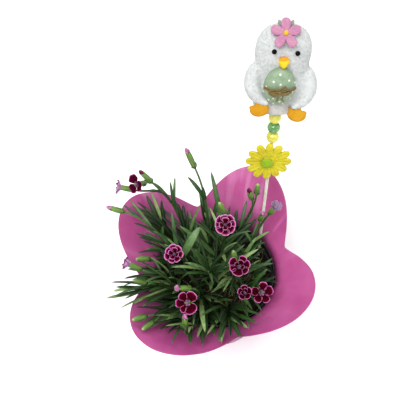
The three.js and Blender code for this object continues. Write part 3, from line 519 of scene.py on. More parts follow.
def flowerpotPiece():
    b, s, r, w = pot["baseRadius"], pot["shoulderRadius"], pot["rimRadius"], pot["wall"]
    low, floor, shoulder, top = pot["bottom"], pot["bottom"] + w, pot["shoulderHeight"], pot["height"]

    def wallAt(height):  # the outside of the slanting wall
        return b + (s - b) * (height - low) / (shoulder - low)

    profile = [(0.4, low + 1), (18, low + 1), (b - 6, low + 1), (b - 4.5, low), (b - 1, low), (b, low + 1)]
    profile += [(wallAt(h) + bulge, h) for h, bulge in
                ((20, 0), (40, 0), (60, 0), (74, 0), (75, 0.35), (76.5, 0.35), (77.5, 0),
                 (shoulder - 0.6, 0))]
    profile += [(r - 0.5, shoulder - 0.2), (r, shoulder + 0.4), (r, 94.6), (r + 0.05, 95), (r, 95.4),
                (r, top - 0.7), (r - 0.25, top - 0.15), (r - 0.65, top), (r - w + 0.2, top - 0.15),
                (r - w, top - 0.7), (r - w, 96.2), (r - w - 0.25, 95.8), (r - w, 95.4),
                (r - w, shoulder + w + 0.5), (r - w - 0.5, shoulder + w), (s - w + 0.3, shoulder + w - 0.1),
                (s - w, shoulder + w - 0.6)]
    profile += [(wallAt(h) - w, h) for h in (70, 40, floor + 1)]
    profile += [(b - w - 1, floor), (18, floor), (0.4, floor)]
    material = potFinish()
    body = tubeSkin(turned(profile, pot["columns"])).piece("pot_body", material)
    drains = []
    for angle in circle(4) + math.pi / 4:
        x, y = pot["drainCircle"] * math.cos(angle), pot["drainCircle"] * math.sin(angle)
        drains.append([around(pot["drainRadius"], circle(28), z) + (x, y, 0) for z in (-3, 9)])
    holes = tubeSkin(*drains).piece("drain_holes")
    cut = body.modifiers.new("drains", "BOOLEAN")
    cut.object, cut.operation, cut.solver = holes, "DIFFERENCE", "EXACT"
    made = pieceFrom(body, "moulded_pot", material)
    bpy.data.objects.remove(holes)
    return made


seat(flowerpotPiece(), "pot", "pot")
print("flowerpot is made")


# soil, with bark chips, crumbs and dry straw on it

soil = {"height": 87, "brow": 4, "lump": 1.3, "rings": 30, "columns": 120}
mulch = {  # how many on a square metre, and sizes in metres, but the straw's as shares of a blade's
    "crumbs": {"Density": 260000.0, "Smallest": 0.00035, "Largest": 0.0012, "Seed": 3},
    "bark": {"Density": 9000.0, "Smallest": 0.0011, "Largest": 0.0026, "Seed": 8},
    "straw": {"Density": 210000.0, "Smallest": 0.8, "Largest": 1.7, "Seed": 5},
}
mulchTilt = {"crumbs": 0.4, "bark": 0.5, "straw": 0.95}


def soilHeight(x, y):
    lumps = np.sin(0.31 * x + 1.1) * np.cos(0.27 * y) + 0.6 * np.sin(0.2 * (x - y))
    return soil["height"] + soil["lump"] * lumps


def soilFinish(name="peat", dark="130e08", light="44321f"):
    look = Finish(name)
    lumps, crumbs = look.grain(220, 6, 0.7), look.grain(1300, 3)
    colour = look.ramp(lumps, (0.3, dark), (0.55, "241a11"), (0.75, light))
    colour = look.mix(look.step(crumbs, 0.66, 0.76) * 0.6, colour, "6b5138")
    return look.feed(colour, 0.92, lumps + 0.4 * crumbs, 0.9, 0.002, Specular_IOR_Level=0.2)


def soilPiece():
    foot, floor = pot["baseRadius"] - 1.7, pot["bottom"] + pot["wall"] + 0.3
    side, angles = soil["height"] - soil["brow"], circle(soil["columns"])
    wide, tall = pot["shoulderRadius"] - pot["baseRadius"], pot["shoulderHeight"] - pot["bottom"]
    edge = foot + (side - floor) * wide / tall  # along the pot's slanting wall
    rings = [around(r, angles, z) for r, z in ((0.4, floor), (foot, floor), (edge, side))]
    for i in range(soil["rings"]):
        radius = edge * (1 - i / soil["rings"]) - (0 if i else 0.4)
        x, y = radius * np.cos(angles), radius * np.sin(angles)
        rough = np.array([noise.fractal(Vector((a, b, 0)) * 0.16, 1, 2, 4) for a, b in zip(x, y)])
        rings.append(np.stack([x, y, soilHeight(x, y) + 0.7 * rough - (0 if i else 0.6)], 1))
    rings.append(rings[-1] * (0.02, 0.02, 1))
    return tubeSkin(rings).piece("peat_filling", soilFinish())


def scattered(base, name, sizes, tilt, shape, places, material):  # copies of a small shape over a surface
    graph, wires, sockets = grownTree(name, sizes)
    spot = graph.parts(graph.node("GeometryNodeInputPosition"))
    points = graph.node("GeometryNodeDistributePointsOnFaces",
                        {"Mesh": wires["Geometry"], "Density": wires["Density"] * places(graph, *spot),
                         "Seed": wires["Seed"]})
    turn = Wire(graph, points.socket.node.outputs["Rotation"])

    def chance(low, high, seed):
        return graph.node("FunctionNodeRandomValue", {0: low, 1: high, "Seed": seed},
                          data_type="FLOAT_VECTOR")

    spun = graph.node("FunctionNodeRotateRotation",
                      {0: turn, 1: chance((-tilt, -tilt, -3.14), (tilt, tilt, 3.14), 11)},
                      rotation_space="LOCAL")
    size = graph.node("FunctionNodeRandomValue", {2: wires["Smallest"], 3: wires["Largest"], "Seed": 7},
                      out=1, data_type="FLOAT")
    stretch = graph.vector("SCALE", chance((0.5, 0.5, 0.4), (1.3, 1.3, 1.1), 5), size)
    copies = graph.node("GeometryNodeInstanceOnPoints",
                        {"Points": points, "Instance": shape(graph), "Rotation": spun, "Scale": stretch})
    return runTree(graph, sockets, sizes, copies, base, name, material)


def pebble(graph):
    return graph.node("GeometryNodeMeshIcoSphere", {"Radius": 1.0, "Subdivisions": 1})


def blade(graph):  # one thin bent straw
    arc = graph.node("GeometryNodeCurveArc",
                     {"Resolution": 5, "Radius": 0.014, "Start Angle": 1.0, "Sweep Angle": 1.0},
                     mode="RADIUS")
    section = graph.node("GeometryNodeCurvePrimitiveCircle", {"Resolution": 3, "Radius": 0.00026})
    straw = graph.node("GeometryNodeCurveToMesh", {0: arc, 1: section})
    return graph.node("GeometryNodeTransform", {0: straw, "Translation": (-0.008, -0.011, 0.001)})


def onTop(graph, x, y, z):
    return graph.step(z, 0.0845, 0.0855)


def thatched(graph, x, y, z):  # the straw lies thickest on the right, where little grows
    away = ((x - 0.03) ** 2 + (y + 0.004) ** 2) ** 0.5
    insidePot = graph.step((x ** 2 + y ** 2) ** 0.5, 0.044, 0.041)
    return onTop(graph, x, y, z) * (0.12 + graph.step(away, 0.034, 0.006)) * insidePot


def strawFinish():
    look = Finish("dry_straw")
    tone = look.grain(120, 3)
    colour = look.ramp(tone, (0.32, "20280f"), (0.5, "44502a"), (0.68, "85824e"))
    return look.feed(colour, 0.8)


peat = seat(soilPiece(), "soil", "soil")
for kind, *form in (("crumbs", pebble, onTop, soilFinish("peat_crumbs", "120c08", "4d3828")),
                    ("bark", pebble, onTop, soilFinish("bark_chips", "2a1a10", "7a5a3c")),
                    ("straw", blade, thatched, strawFinish())):
    seat(scattered(peat, kind + "_on_soil", mulch[kind], mulchTilt[kind], *form), "soil")
print("soil is made")


# the plant: where its stems and leaves are

stalk = {"radius": 1.55, "tipRadius": 1, "runs": 5, "sunk": 12, "firstLeaf": 3, "step": 6, "stepMore": 1.1}
calyx = {"length": 13, "radius": 2.7}
leafShape = {
    "width": 4.7, "length": 70, "thickness": 1.15, "clear": 0.45, "attempts": 18, "splay": 44,
    "splayLess": 20, "stemTurn": 47, "pairTurn": 90, "turnSpread": 40, "underFlower": 8, "underTip": 1,
}
crown = {  # the space that leaves may fill
    "middle": 88, "more": 26, "towards": 190, "heart": (0, 4), "pull": 0.5, "fullPull": 45,
    "insidePot": 53, "outsidePot": 64, "overSoil": 3.5, "overRim": 2.5,
}

# bare, size, splay: the stem's leafless share, its leaves' size and how far they stand off; at: a calyx's
# mouth, or a shoot's end; face: the way it looks; open, lift: the corolla's radius and how far its edge
# lifts; fork: where a branch leaves the first end's stem; tip: a bud that shows colour; green: a closed bud
stems = [
    dict(name="stem_centre", root=(4, 12), pairs=4, bare=0.3, size=0.9, ends=[
        dict(at=(13, 12, 170), face=(-0.05, -0.42, 0.9), open=10.5, lift=0.6, style="ruffled"),
        dict(at=(10, 36, 171), face=(-0.35, 0.35, 0.85), fork=0.55, green=True)]),
    dict(name="stem_left", root=(-15, 2), pairs=4, bare=0.2, size=0.9, ends=[
        dict(at=(-37.5, -10, 163), face=(-0.12, -0.35, 0.92), open=9.7, lift=1.4, style="double")]),
    dict(name="stem_right", root=(14, -8), pairs=4, size=0.85, ends=[
        dict(at=(22, -27, 158), face=(-0.1, -0.38, 0.9), open=10.5, lift=1.8, style="cupped"),
        dict(at=(18, -8, 152), face=(-0.1, 0.35, 0.9), fork=0.45, green=True)]),
    dict(name="stem_front_left", root=(-12, -22), pairs=4, ends=[
        dict(at=(-29, -56, 153), face=(-0.22, -0.45, 0.86), open=11.6, lift=0.3, style="open"),
        dict(at=(-36, -38, 148), face=(-0.85, -0.1, 0.5), fork=0.5, tip="light", full=1.55)]),
    dict(name="stem_front_right", root=(20, -20), pairs=5, ends=[
        dict(at=(40, -46, 136), face=(0.12, -0.45, 0.88), open=11.6, lift=0.2, style="rosette"),
        dict(at=(24, -52, 152), face=(-0.15, -0.3, 0.93), fork=0.45, open=7.2, lift=3, style="opening")]),
    dict(name="stem_back_left", root=(-20, 20), pairs=4, bare=0.45, size=0.85, ends=[
        dict(at=(-66.5, 52, 195), face=(-0.62, -0.5, 0.6), open=8.2, lift=0.5, style="dark"),
        dict(at=(-61, 67, 190), face=(-0.6, 0.4, 0.69), fork=0.62, tip="deep"),
        dict(at=(-82, 55, 188), face=(-0.9, 0.1, 0.35), fork=0.7, open=6, lift=2.6, style="pale")]),
    dict(name="stem_far_left", root=(-32, 10), pairs=5, bare=0.2, size=0.9, splay=0.7, ends=[
        dict(at=(-94, 39, 178), face=(-0.9, 0.2, 0.35), tip="light")]),
    dict(name="stem_tall", root=(-4, 26), pairs=4, bare=0.28, size=0.7, splay=0.7, ends=[
        dict(at=(-15, 62, 222), face=(-0.28, 0.35, 0.9), tip="light", long=1.4)]),
    dict(name="stem_left_low", root=(-34, -6), pairs=4, bare=0.2, splay=0.6, ends=[
        dict(at=(-80, -15, 161), face=(-0.75, 0.2, 0.55), open=5.6, lift=2.6, style="pale"),
        dict(at=(-74, -5, 152), face=(-0.85, -0.2, 0.45), fork=0.6, green=True)]),
    dict(name="stem_left_bud", root=(-30, -19), pairs=6, size=1.15, splay=0.6, ends=[
        dict(at=(-78, -25, 148), face=(-0.85, 0.05, 0.5), green=True)]),
    dict(name="stem_low_left", root=(-22, -32), pairs=4, bare=0.15, splay=0.7, ends=[
        dict(at=(-79, -65, 149), face=(-0.88, -0.3, 0.38), green=True),
        dict(at=(-71, -74, 147), face=(-0.7, -0.6, 0.38), fork=0.7, green=True)]),
    dict(name="stem_front_bud", root=(-4, -34), pairs=5, ends=[
        dict(at=(-33, -70, 150), face=(0.12, 0.45, 0.88), tip="light")]),
    dict(name="stem_back_right", root=(14, 26), pairs=4, bare=0.4, size=0.75, ends=[
        dict(at=(48, 44, 184), face=(0.1, 0.15, 0.98), green=True),
        dict(at=(39.5, 40, 180), face=(-0.2, 0.05, 0.97), fork=0.6, tip="deep")]),
    dict(name="stem_right_bud", root=(28, 8), pairs=4, bare=0.35, size=0.6, ends=[
        dict(at=(49, 19, 171), face=(0.1, -0.1, 0.98), tip="light"),
        dict(at=(61, 22, 175), face=(0.35, -0.1, 0.93), fork=0.6, open=6.2, lift=2.6, style="grey")]),
    dict(name="shoot_front", root=(8, -33), pairs=6, size=1.2, splay=0.6, ends=[dict(at=(6, -62, 120))]),
    dict(name="shoot_front_left", root=(-13, -37), pairs=6, size=1.15, splay=0.6,
         ends=[dict(at=(-38, -64, 126))]),
    dict(name="shoot_left", root=(-22, -11), pairs=7, size=1.25, splay=0.45, ends=[dict(at=(-74, -26, 127))]),
    dict(name="shoot_back", root=(4, 38), pairs=3, splay=0.6, size=0.8, ends=[dict(at=(-8, 50, 124))]),
    dict(name="shoot_back_left", root=(-32, 28), pairs=6, splay=0.55, ends=[dict(at=(-56, 50, 134))]),
    dict(name="shoot_right", root=(36, -8), pairs=3, size=0.5, ends=[dict(at=(37, -12, 102))]),
    dict(name="shoot_middle", root=(-3, -10), pairs=6, size=1.1, splay=0.8, ends=[dict(at=(-8, -18, 136))]),
]

pick = {
    "foot": (48.7, 26.6, 110), "leanBack": 12, "leanRight": 5.75, "turn": -4, "stickRadius": 1.5,
    "bore": 1.85, "stickBottom": -55, "stickTop": 171, "gap": 0.3,
}
pickLean = Vector([math.tan(pick[way] * degree) for way in ("leanRight", "leanBack")] + [1]).normalized()
pickTurn = (Vector((0, 0, 1)).rotation_difference(pickLean)
            @ Quaternion((0, 0, 1), pick["turn"] * degree)).to_matrix()


def onPick(points):  # from the pick's own upright frame to where it stands
    return np.asarray(points) @ np.array(pickTurn).T + np.array(pick["foot"])


class Route:  # a stem's cubic curve
    def __init__(self, *points):
        self.points = np.array(points, float)

    def point(self, t):
        t = np.asarray(t, float)[..., None]
        a, b, c, d = self.points
        return (1 - t) ** 3 * a + 3 * (1 - t) ** 2 * t * b + 3 * (1 - t) * t * t * c + t ** 3 * d

    def tangent(self, t):
        return unit(self.point(min(1, t + 1e-4)) - self.point(max(0, t - 1e-4)))

    def length(self):
        return np.linalg.norm(np.diff(self.point(np.linspace(0, 1, 201)), axis=0), axis=1).sum()

    def onRuns(self, t):  # a point on the straight runs between a few stations
        run = min(stalk["runs"] - 1, int(t * stalk["runs"]))
        first, second = self.point(run / stalk["runs"]), self.point((run + 1) / stalk["runs"])
        return first + (second - first) * (t * stalk["runs"] - run)


def stemRoute(stem, end):
    face = unit(end["face"]) if "face" in end else None
    top = np.array(end["at"], float)
    if face is not None:
        top = top - face * calyx["length"] * end.get("long", 1)
    if "fork" not in end:
        root = np.array([*stem["root"], soil["height"] - stalk["sunk"]], float)
        rise = top[2] - root[2]
        low = root + ((top[0] - root[0]) * 0.12, (top[1] - root[1]) * 0.12, rise * 0.45)
        high = top - face * 0.3 * rise if face is not None else top + (low - top) * 0.4
        return Route(root, low, high, top)
    main = stem["ends"][0]["route"]
    start = main.onRuns(end["fork"])
    span = np.linalg.norm(top - start)
    return Route(start, start + main.tangent(end["fork"]) * 0.35 * span, top - face * 0.35 * span, top)


def ribOf(leaf, t):  # points, sideways, upwards and half widths along a leaf
    t = np.asarray(t, float)
    rise, arch, length = leaf["rise"], leaf["arch"], leaf["length"]
    now = rise - arch * t
    out = length * (math.sin(rise) - np.sin(now)) / arch
    lifted = length * (np.cos(now) - math.cos(rise)) / arch
    aside = leaf["sweep"] * length * t * t
    c, s = math.cos(leaf["azimuth"]), math.sin(leaf["azimuth"])
    at = leaf["base"] + np.stack([c * out - s * aside, s * out + c * aside, lifted], -1)
    across = np.broadcast_to(np.array([-s, c, 0]), at.shape)
    up = np.stack([-c * np.sin(now), -s * np.sin(now), np.cos(now)], -1)
    half = leaf["width"] / 2 * np.sin(math.pi * (0.05 + 0.95 * np.clip(t, 0, 1))).clip(0) ** 0.45
    return at, across, up, half


class Strip:  # a chain of short segments: flat ones, or round ones where no way across is given
    def __init__(self, at, owner, half, deep, across=None, up=None):
        at, self.owner = np.asarray(at, float), owner
        size, flat = len(at), across is not None
        wide, none = np.broadcast_to(half, size), np.zeros(size)
        across, up = (np.broadcast_to(way if flat else 0, (size, 3)) for way in (across, up))
        sizes = (wide, np.broadcast_to(deep, size), none) if flat else (none, none, wide)
        stations = np.column_stack([at, across, up, *sizes])
        self.segments = np.stack([stations[:-1], stations[1:]], 1)  # two ends each, see partsOf
        self.middle = (at[0] + at[-1]) / 2
        self.reach = (np.linalg.norm(at - self.middle, axis=1) + wide).max()


def partsOf(ends):  # their places, the ways across and up, and the half sizes across, up and all round
    return ends[..., 0:3], ends[..., 3:6], ends[..., 6:9], ends[..., 9], ends[..., 10], ends[..., 11]


def reachTowards(direction, segments):  # from the segments' lines to their surface, at the wider end
    _, across, up, half, deep, radius = partsOf(segments)
    direction = direction[..., None, :]
    return (radius + np.abs((direction * across).sum(-1)) * half
            + np.abs((direction * up).sum(-1)) * deep).max(-1)


class Crowd:  # what is already there, which a new leaf has to miss
    def __init__(self, room=9000):
        self.segments = np.zeros((room, 2, 12))
        self.rank, self.strip = np.zeros((2, room), int)  # a segment's place in its strip, and which strip
        self.middle, self.reach, self.owner = np.zeros((room, 3)), np.zeros(room), np.zeros(room, int)
        self.used, self.strips = 0, 0

    def add(self, strip):
        size = len(strip.segments)
        span = slice(self.used, self.used + size)
        self.segments[span], self.rank[span], self.strip[span] = strip.segments, np.arange(size), self.strips
        self.middle[self.strips], self.reach[self.strips] = strip.middle, strip.reach
        self.owner[self.strips] = strip.owner
        self.used, self.strips = self.used + size, self.strips + 1

    def missedBy(self, strip, clear):  # within one stem leaves may touch, and their feet aren't looked at
        own = self.owner[:self.strips] == strip.owner
        gaps = np.where(own, 0.0, clear)
        apart = np.linalg.norm(self.middle[:self.strips] - strip.middle, axis=1)
        near = apart <= self.reach[:self.strips] + strip.reach + gaps
        which = self.strip[:self.used]
        mine = own[which]
        chosen = near[which] & ~(mine & (self.rank[:self.used] < 2))
        if not chosen.any():
            return True
        other, mine = self.segments[:self.used][chosen][None], mine[chosen][None]
        gap, ours = gaps[which][chosen][None], strip.segments[:, None]
        (p1, d1), (p2, d2) = ((ends[..., 0, :], ends[..., 1, :] - ends[..., 0, :])
                              for ends in (partsOf(ours)[0], partsOf(other)[0]))
        r = p1 - p2  # from here on, the nearest points of each two segments, at s and t along them
        a, e, b = (d1 * d1).sum(-1), (d2 * d2).sum(-1), (d1 * d2).sum(-1)
        c, f = (d1 * r).sum(-1), (d2 * r).sum(-1)
        below = a * e - b * b
        s = np.where(below > 1e-9, np.clip((b * f - c * e) / np.maximum(below, 1e-12), 0, 1), 0.5)
        t = np.clip((b * s + f) / e, 0, 1)
        s = np.clip((b * t - c) / a, 0, 1)
        between = p1 + d1 * s[..., None] - p2 - d2 * t[..., None]
        distance = np.linalg.norm(between, axis=-1)
        way = between / np.where(distance > 1e-6, distance, 1)[..., None]
        wide = reachTowards(way, ours) + reachTowards(way, other)
        counted = ~(mine & (np.arange(len(ours))[:, None] < 2))
        return not ((distance < wide + gap) & counted).any()

    def takeFirst(self, tries, owner, clear, leaves):  # the first try that misses the rest is kept
        for leaf in tries:
            strip = leafStrip(leaf, owner)
            if self.missedBy(strip, clear):
                self.add(strip)
                leaves.append(leaf)
                return


def hasRoom(leaf):  # above the soil, the pot's rim and the film, and within the crown
    at, _, _, half = ribOf(leaf, np.arange(1, 9) / 8)
    radius, angle = np.hypot(at[:, 0], at[:, 1]), np.arctan2(at[:, 1], at[:, 0])
    low = at[:, 2] - half * 0.5
    if (radius > crown["middle"] + crown["more"] * np.cos(angle - crown["towards"] * degree)).any():
        return False
    inside, outside = radius < crown["insidePot"], radius >= crown["outsidePot"]
    if (inside & (low < soil["height"] + crown["overSoil"])).any():
        return False
    if (~inside & ~outside & (low < pot["height"] + crown["overRim"])).any():
        return False
    overFilm = outside & (radius < filmReach(angle) + 4)
    return not (overFilm & (low < filmHeight(radius, angle) + crown["overRim"])).any()


def leafOn(main, distance, roll, splay, key, index, attempt, high):  # high: as a share of the stem
    t = distance / main.length()
    along = main.tangent(t)
    u, v = waysAcross(along)
    outward = u * math.cos(roll) + v * math.sin(roll)
    splay += (draw(index, key, 2) - 0.5) * 20 * degree
    way = along * math.cos(splay) + outward * math.sin(splay)
    rise = math.asin(max(-1, min(1, way[2]))) + attempt * 4 * degree
    base = main.onRuns(t) + outward * 0.35
    azimuth = math.atan2(way[1], way[0])
    far = base[:2] - crown["heart"]
    aside = (math.atan2(far[1], far[0]) - azimuth + 3 * math.pi) % (2 * math.pi) - math.pi
    azimuth += aside * crown["pull"] * min(1, np.hypot(*far) / crown["fullPull"])
    return dict(
        base=base, azimuth=azimuth + (draw(index, key, 3) - 0.5) * 16 * attempt * degree,
        rise=min(rise, 1.45),
        arch=(0.25 + 0.6 * draw(index, key, 4)) * (0.5 + 0.5 * min(1, max(0, rise))),
        length=(leafShape["length"] * (0.98 - 0.52 * high) * (0.85 + 0.35 * draw(index, key, 5))
                * (1 - 0.035 * attempt) * stems[index].get("size", 1)),
        width=leafShape["width"] * (0.85 + 0.4 * draw(index, key, 6)) * (1 - 0.2 * high),
        sweep=(draw(index, key, 7) - 0.5) * 0.2, seed=index * 1000 + key)


def leafStrip(leaf, owner):
    at, across, up, half = ribOf(leaf, np.arange(6) / 5)
    return Strip(at, owner, half, leafShape["thickness"] * 0.8, across, up)


def corollaStrips(end, face, mouth):
    u, v = waysAcross(face)
    centre = mouth + face * 1.5
    for i in range(5):
        angle = i / 5 * 2 * math.pi
        out = u * math.cos(angle) + v * math.sin(angle)
        tip = centre + out * end["open"] + face * end["lift"]
        yield Strip([centre, tip], -1, np.array([2, end["open"] * 0.55]), 1.6, np.cross(face, out), face)


def leafyRun(stem, kind):  # the length of a stem that bears leaves of a kind
    first = stem["ends"][0]
    room = first["route"].length() - stalk["sunk"] - kind["underFlower" if "face" in first else "underTip"]
    return room * (1 - stem.get("bare", 0))


def splayOf(stem, kind, high):  # how far such a leaf stands off its stem
    return stem.get("splay", 0.9) * (kind["splay"] - leafShape["splayLess"] * high) * degree


def plantStems(crowd):
    for index, stem in enumerate(stems):
        stem["leaves"], stem["index"] = [], index
        for end in stem["ends"]:
            end["route"] = stemRoute(stem, end)
            stations = end["route"].point(np.linspace(0, 1, stalk["runs"] + 1))
            crowd.add(Strip(stations, index, stalk["radius"] + 0.2, 0))
            if "face" not in end:
                continue
            face, mouth = unit(end["face"]), np.array(end["at"], float)
            crowd.add(Strip([end["route"].point(1), mouth], index, calyx["radius"] + 0.2, 0))
            if "tip" in end:
                crowd.add(Strip([mouth, mouth + face * 5.2], -1, 2.4, 0))
            if "open" in end:
                for strip in corollaStrips(end, face, mouth):
                    crowd.add(strip)
    ends = onPick([(0, 0, pick["stickBottom"]), (0, 0, pick["stickTop"])])
    crowd.add(Strip(ends, -1, pick["stickRadius"] + 0.5, 0))


def mainTries(stem, pair, side):  # one leaf of a pair, raised and turned further at each try
    index, high = stem["index"], pair / stem["pairs"]
    roll = index * leafShape["stemTurn"] + pair * leafShape["pairTurn"] + side * 180
    roll += (draw(index, pair, 1) - 0.5) * leafShape["turnSpread"]
    for attempt in range(leafShape["attempts"]):
        key = 10 * pair + 5 * side + 100 * attempt
        leaf = leafOn(stem["ends"][0]["route"], stem["spacing"][pair], roll * degree,
                      splayOf(stem, leafShape, high), key, index, attempt, high)
        if hasRoom(leaf):
            yield leaf


def growPairs(crowd):  # the main leaves, from the lowest pairs up
    def far(k):  # the gaps between pairs grow up the stem
        return (stalk["step"] + stalk["stepMore"] * (k + 1)) * k

    for stem in stems:
        pairs = stem["pairs"]
        most = pairs * (stalk["step"] + stalk["stepMore"] * pairs)
        share = min(1, leafyRun(stem, leafShape) / most)
        stem["spacing"] = [stalk["sunk"] + stalk["firstLeaf"] + share * far(k) for k in range(pairs)]
    for pair in range(max(stem["pairs"] for stem in stems)):
        for stem in stems:
            for side in range(2 if pair < stem["pairs"] else 0):
                crowd.takeFirst(mainTries(stem, pair, side), stem["index"], leafShape["clear"],
                                stem["leaves"])


finer = {  # the small leaves
    "leavesPerStem": 24, "attempts": 5, "clear": -0.5, "narrow": 0.7, "splay": 48, "underFlower": 10,
    "underTip": 2,
}
young = {  # the tufts of young leaves
    "tufts": 34, "middle": 190, "spread": 330, "reach": 46, "end": 12, "leaves": 7, "attempts": 3,
    "length": 44, "clear": -0.6, "overSoil": 2, "overRim": 3,
}


def bareShare(x, y):  # few small leaves grow at the right and the back
    return 0.85 if x > 16 else 0.88 if y > 16 else 0.75 if x < -30 and y > 4 else 0


def smallTries(stem, k):
    index, part = stem["index"], draw(stem["index"], k, 21) ** 2.2
    distance = stalk["sunk"] + stalk["firstLeaf"] + leafyRun(stem, finer) * part
    for attempt in range(finer["attempts"]):
        key = 3000 + 40 * k + attempt
        leaf = leafOn(stem["ends"][0]["route"], distance, draw(index, key, 22) * 360 * degree,
                      splayOf(stem, finer, part), key, index, attempt, 0.25 + 0.6 * part)
        leaf["width"] *= finer["narrow"]
        if draw(index, key, 23) >= bareShare(*leaf["base"][:2]) and hasRoom(leaf):
            yield leaf


def tuftTries(x, y, k, j):
    azimuth, high = (j * 137.5 + draw(k, j, 33) * 40) * degree, j / young["leaves"]
    base = np.array([x + 1.2 * math.cos(azimuth), y + 1.2 * math.sin(azimuth), float(soilHeight(x, y)) - 1.5])
    for attempt in range(young["attempts"]):
        leaf = dict(base=base, azimuth=azimuth + attempt * 0.3, arch=0.3 + 0.8 * draw(k, j, 34),
                    rise=(48 + 34 * high) * degree + attempt * 0.1,
                    length=young["length"] * (0.6 + 0.6 * draw(k, j, 35)) * (1 - 0.1 * attempt),
                    width=3.1 + 1.4 * draw(k, j, 36), sweep=(draw(k, j, 37) - 0.5) * 0.3,
                    seed=5000 + 20 * k + j)
        at, _, _, half = ribOf(leaf, np.arange(3, 9) / 8)
        beyond = np.hypot(at[:, 0], at[:, 1]) - crown["insidePot"]
        low = (beyond < 0) & (at[:, 2] - half * 0.5 < soil["height"] + young["overSoil"])
        low |= (beyond >= 0) & (at[:, 2] < pot["height"] + young["overRim"] + beyond)
        if not low.any():
            yield leaf


def growMore(crowd):  # the smaller leaves that fill the crown, and tufts of young ones on the soil
    for stem in stems:
        for k in range(finer["leavesPerStem"]):
            crowd.takeFirst(smallTries(stem, k), stem["index"], finer["clear"], stem["leaves"])
    tufts = []
    for k in range(young["tufts"]):
        angle = (young["middle"] + (draw(k, 1, 31) - 0.5) * young["spread"]) * degree
        far = young["reach"] * math.sqrt(draw(k, 2, 32))
        x, y = far * math.cos(angle), far * math.sin(angle)
        for j in range(young["leaves"] if x < young["end"] else 0):
            crowd.takeFirst(tuftTries(x, y, k, j), 100 + k, young["clear"], tufts)
    return tufts


# single leaves that stand out of the crown: stem, place along it, tip, arch and width
standingLeaves = [
    ("stem_left", 0.78, (-10.5, 18, 160), 0.5, 8.4), ("stem_tall", 0.66, (-17.5, 58, 192), 0.7, 4.2),
    ("stem_tall", 0.66, (-4, 46, 190), 0.5, 3.8), ("stem_centre", 0.6, (7.5, 67, 185), 0.3, 5.4),
    ("stem_front_bud", 0.42, (-21.1, -91, 134), 0.8, 5.2),
    ("shoot_front", 0.8, (14.4, -85.2, 126.5), 0.7, 5.6),
    ("shoot_front", 0.6, (-6.6, -86.5, 128.5), 0.9, 5.0),
]


def leafTowards(route, t, tip, arch, width, seed):
    base = route.onRuns(t)
    way = np.array(tip, float) - base
    return dict(base=base, azimuth=math.atan2(way[1], way[0]), arch=arch, width=width, sweep=0.04, seed=seed,
                rise=math.atan2(way[2], np.hypot(*way[:2])) + arch / 2,
                length=np.linalg.norm(way) * arch / 2 / math.sin(arch / 2))


crowd = Crowd()
plantStems(crowd)
growPairs(crowd)
for number, (name, *spot) in enumerate(standingLeaves):
    owner = next(stem for stem in stems if stem["name"] == name)
    leaf = leafTowards(owner["ends"][0]["route"], *spot, 7015 + 3 * number)
    owner["leaves"].append(leaf)
    crowd.add(leafStrip(leaf, owner["index"]))
planned = sum(len(stem["leaves"]) for stem in stems)
youngLeaves = growMore(crowd)
print("the plant is laid out:", planned, "main leaves,",
      sum(len(stem["leaves"]) for stem in stems) - planned, "small ones and", len(youngLeaves), "young ones")


# the plant: its leaves and stems

leafSection = np.array([-1, -0.5, 0, 0.5, 1, 0.55, 0, -0.55])
leafRows = {"main": 12, "young": 8}


def leafSkin(skin, leaf, rows):
    t = np.linspace(0, 1, rows) ** 0.92
    at, across, up, half = ribOf(leaf, t)
    half = np.where(t >= 1, 0.02, half)
    seed = leaf["seed"]
    twist = (draw(seed, 1, 41) - 0.5) * t + 0.06 * np.sin(9 * t + seed)
    side = across * np.cos(twist)[:, None] + up * np.sin(twist)[:, None]
    over = up * np.cos(twist)[:, None] - across * np.sin(twist)[:, None]
    x, top = leafSection, np.arange(8) < 5
    channel = 0.34 * np.abs(x) ** 1.4
    keel = -leafShape["thickness"] * 0.8 * (1 - np.abs(x) ** 1.6)
    lift = channel[None] * half[:, None] + np.where(
        top, 0, keel[None] * (1 - 0.55 * t[:, None]) * np.minimum(1, half[:, None]))
    wave = 0.12 * np.sin(14 * t[:, None] + seed + 2 * x[None]) * np.abs(x)[None]
    rings = (at[:, None] + side[:, None] * (x[None] * half[:, None])[..., None]
             + over[:, None] * (lift + wave)[..., None])[:, ::-1]
    skin.tube(rings, across=np.tile((x[::-1] + 1) / 2, rows), along=np.repeat(t, len(x)),
              tint=draw(seed, 2, 42))


def stemSkin(skin, stem, end):
    route = end["route"]
    stations, sides = np.linspace(0, 1, 26), 8
    spots = np.array(stem["spacing"]) if "fork" not in end else np.array([end["route"].length() * 0.5])
    rings = []
    for t in stations:
        radius = stalk["radius"] + (stalk["tipRadius"] - stalk["radius"]) * t
        radius *= 0.86 + 0.3 * np.exp(-((t * route.length() - spots) / 1.6) ** 2).sum().clip(0, 1)
        rings.append(ringAbout(route.point(t), route.tangent(t), radius * 1.12, sides))
    if "face" not in end:
        rings.append(ringAbout(route.point(1), route.tangent(1), 0.1, sides))
    skin.tube(rings, look=1, along=np.repeat(stations if "face" in end else [*stations, 1], sides),
              tint=draw(stem["index"], 1, 43))


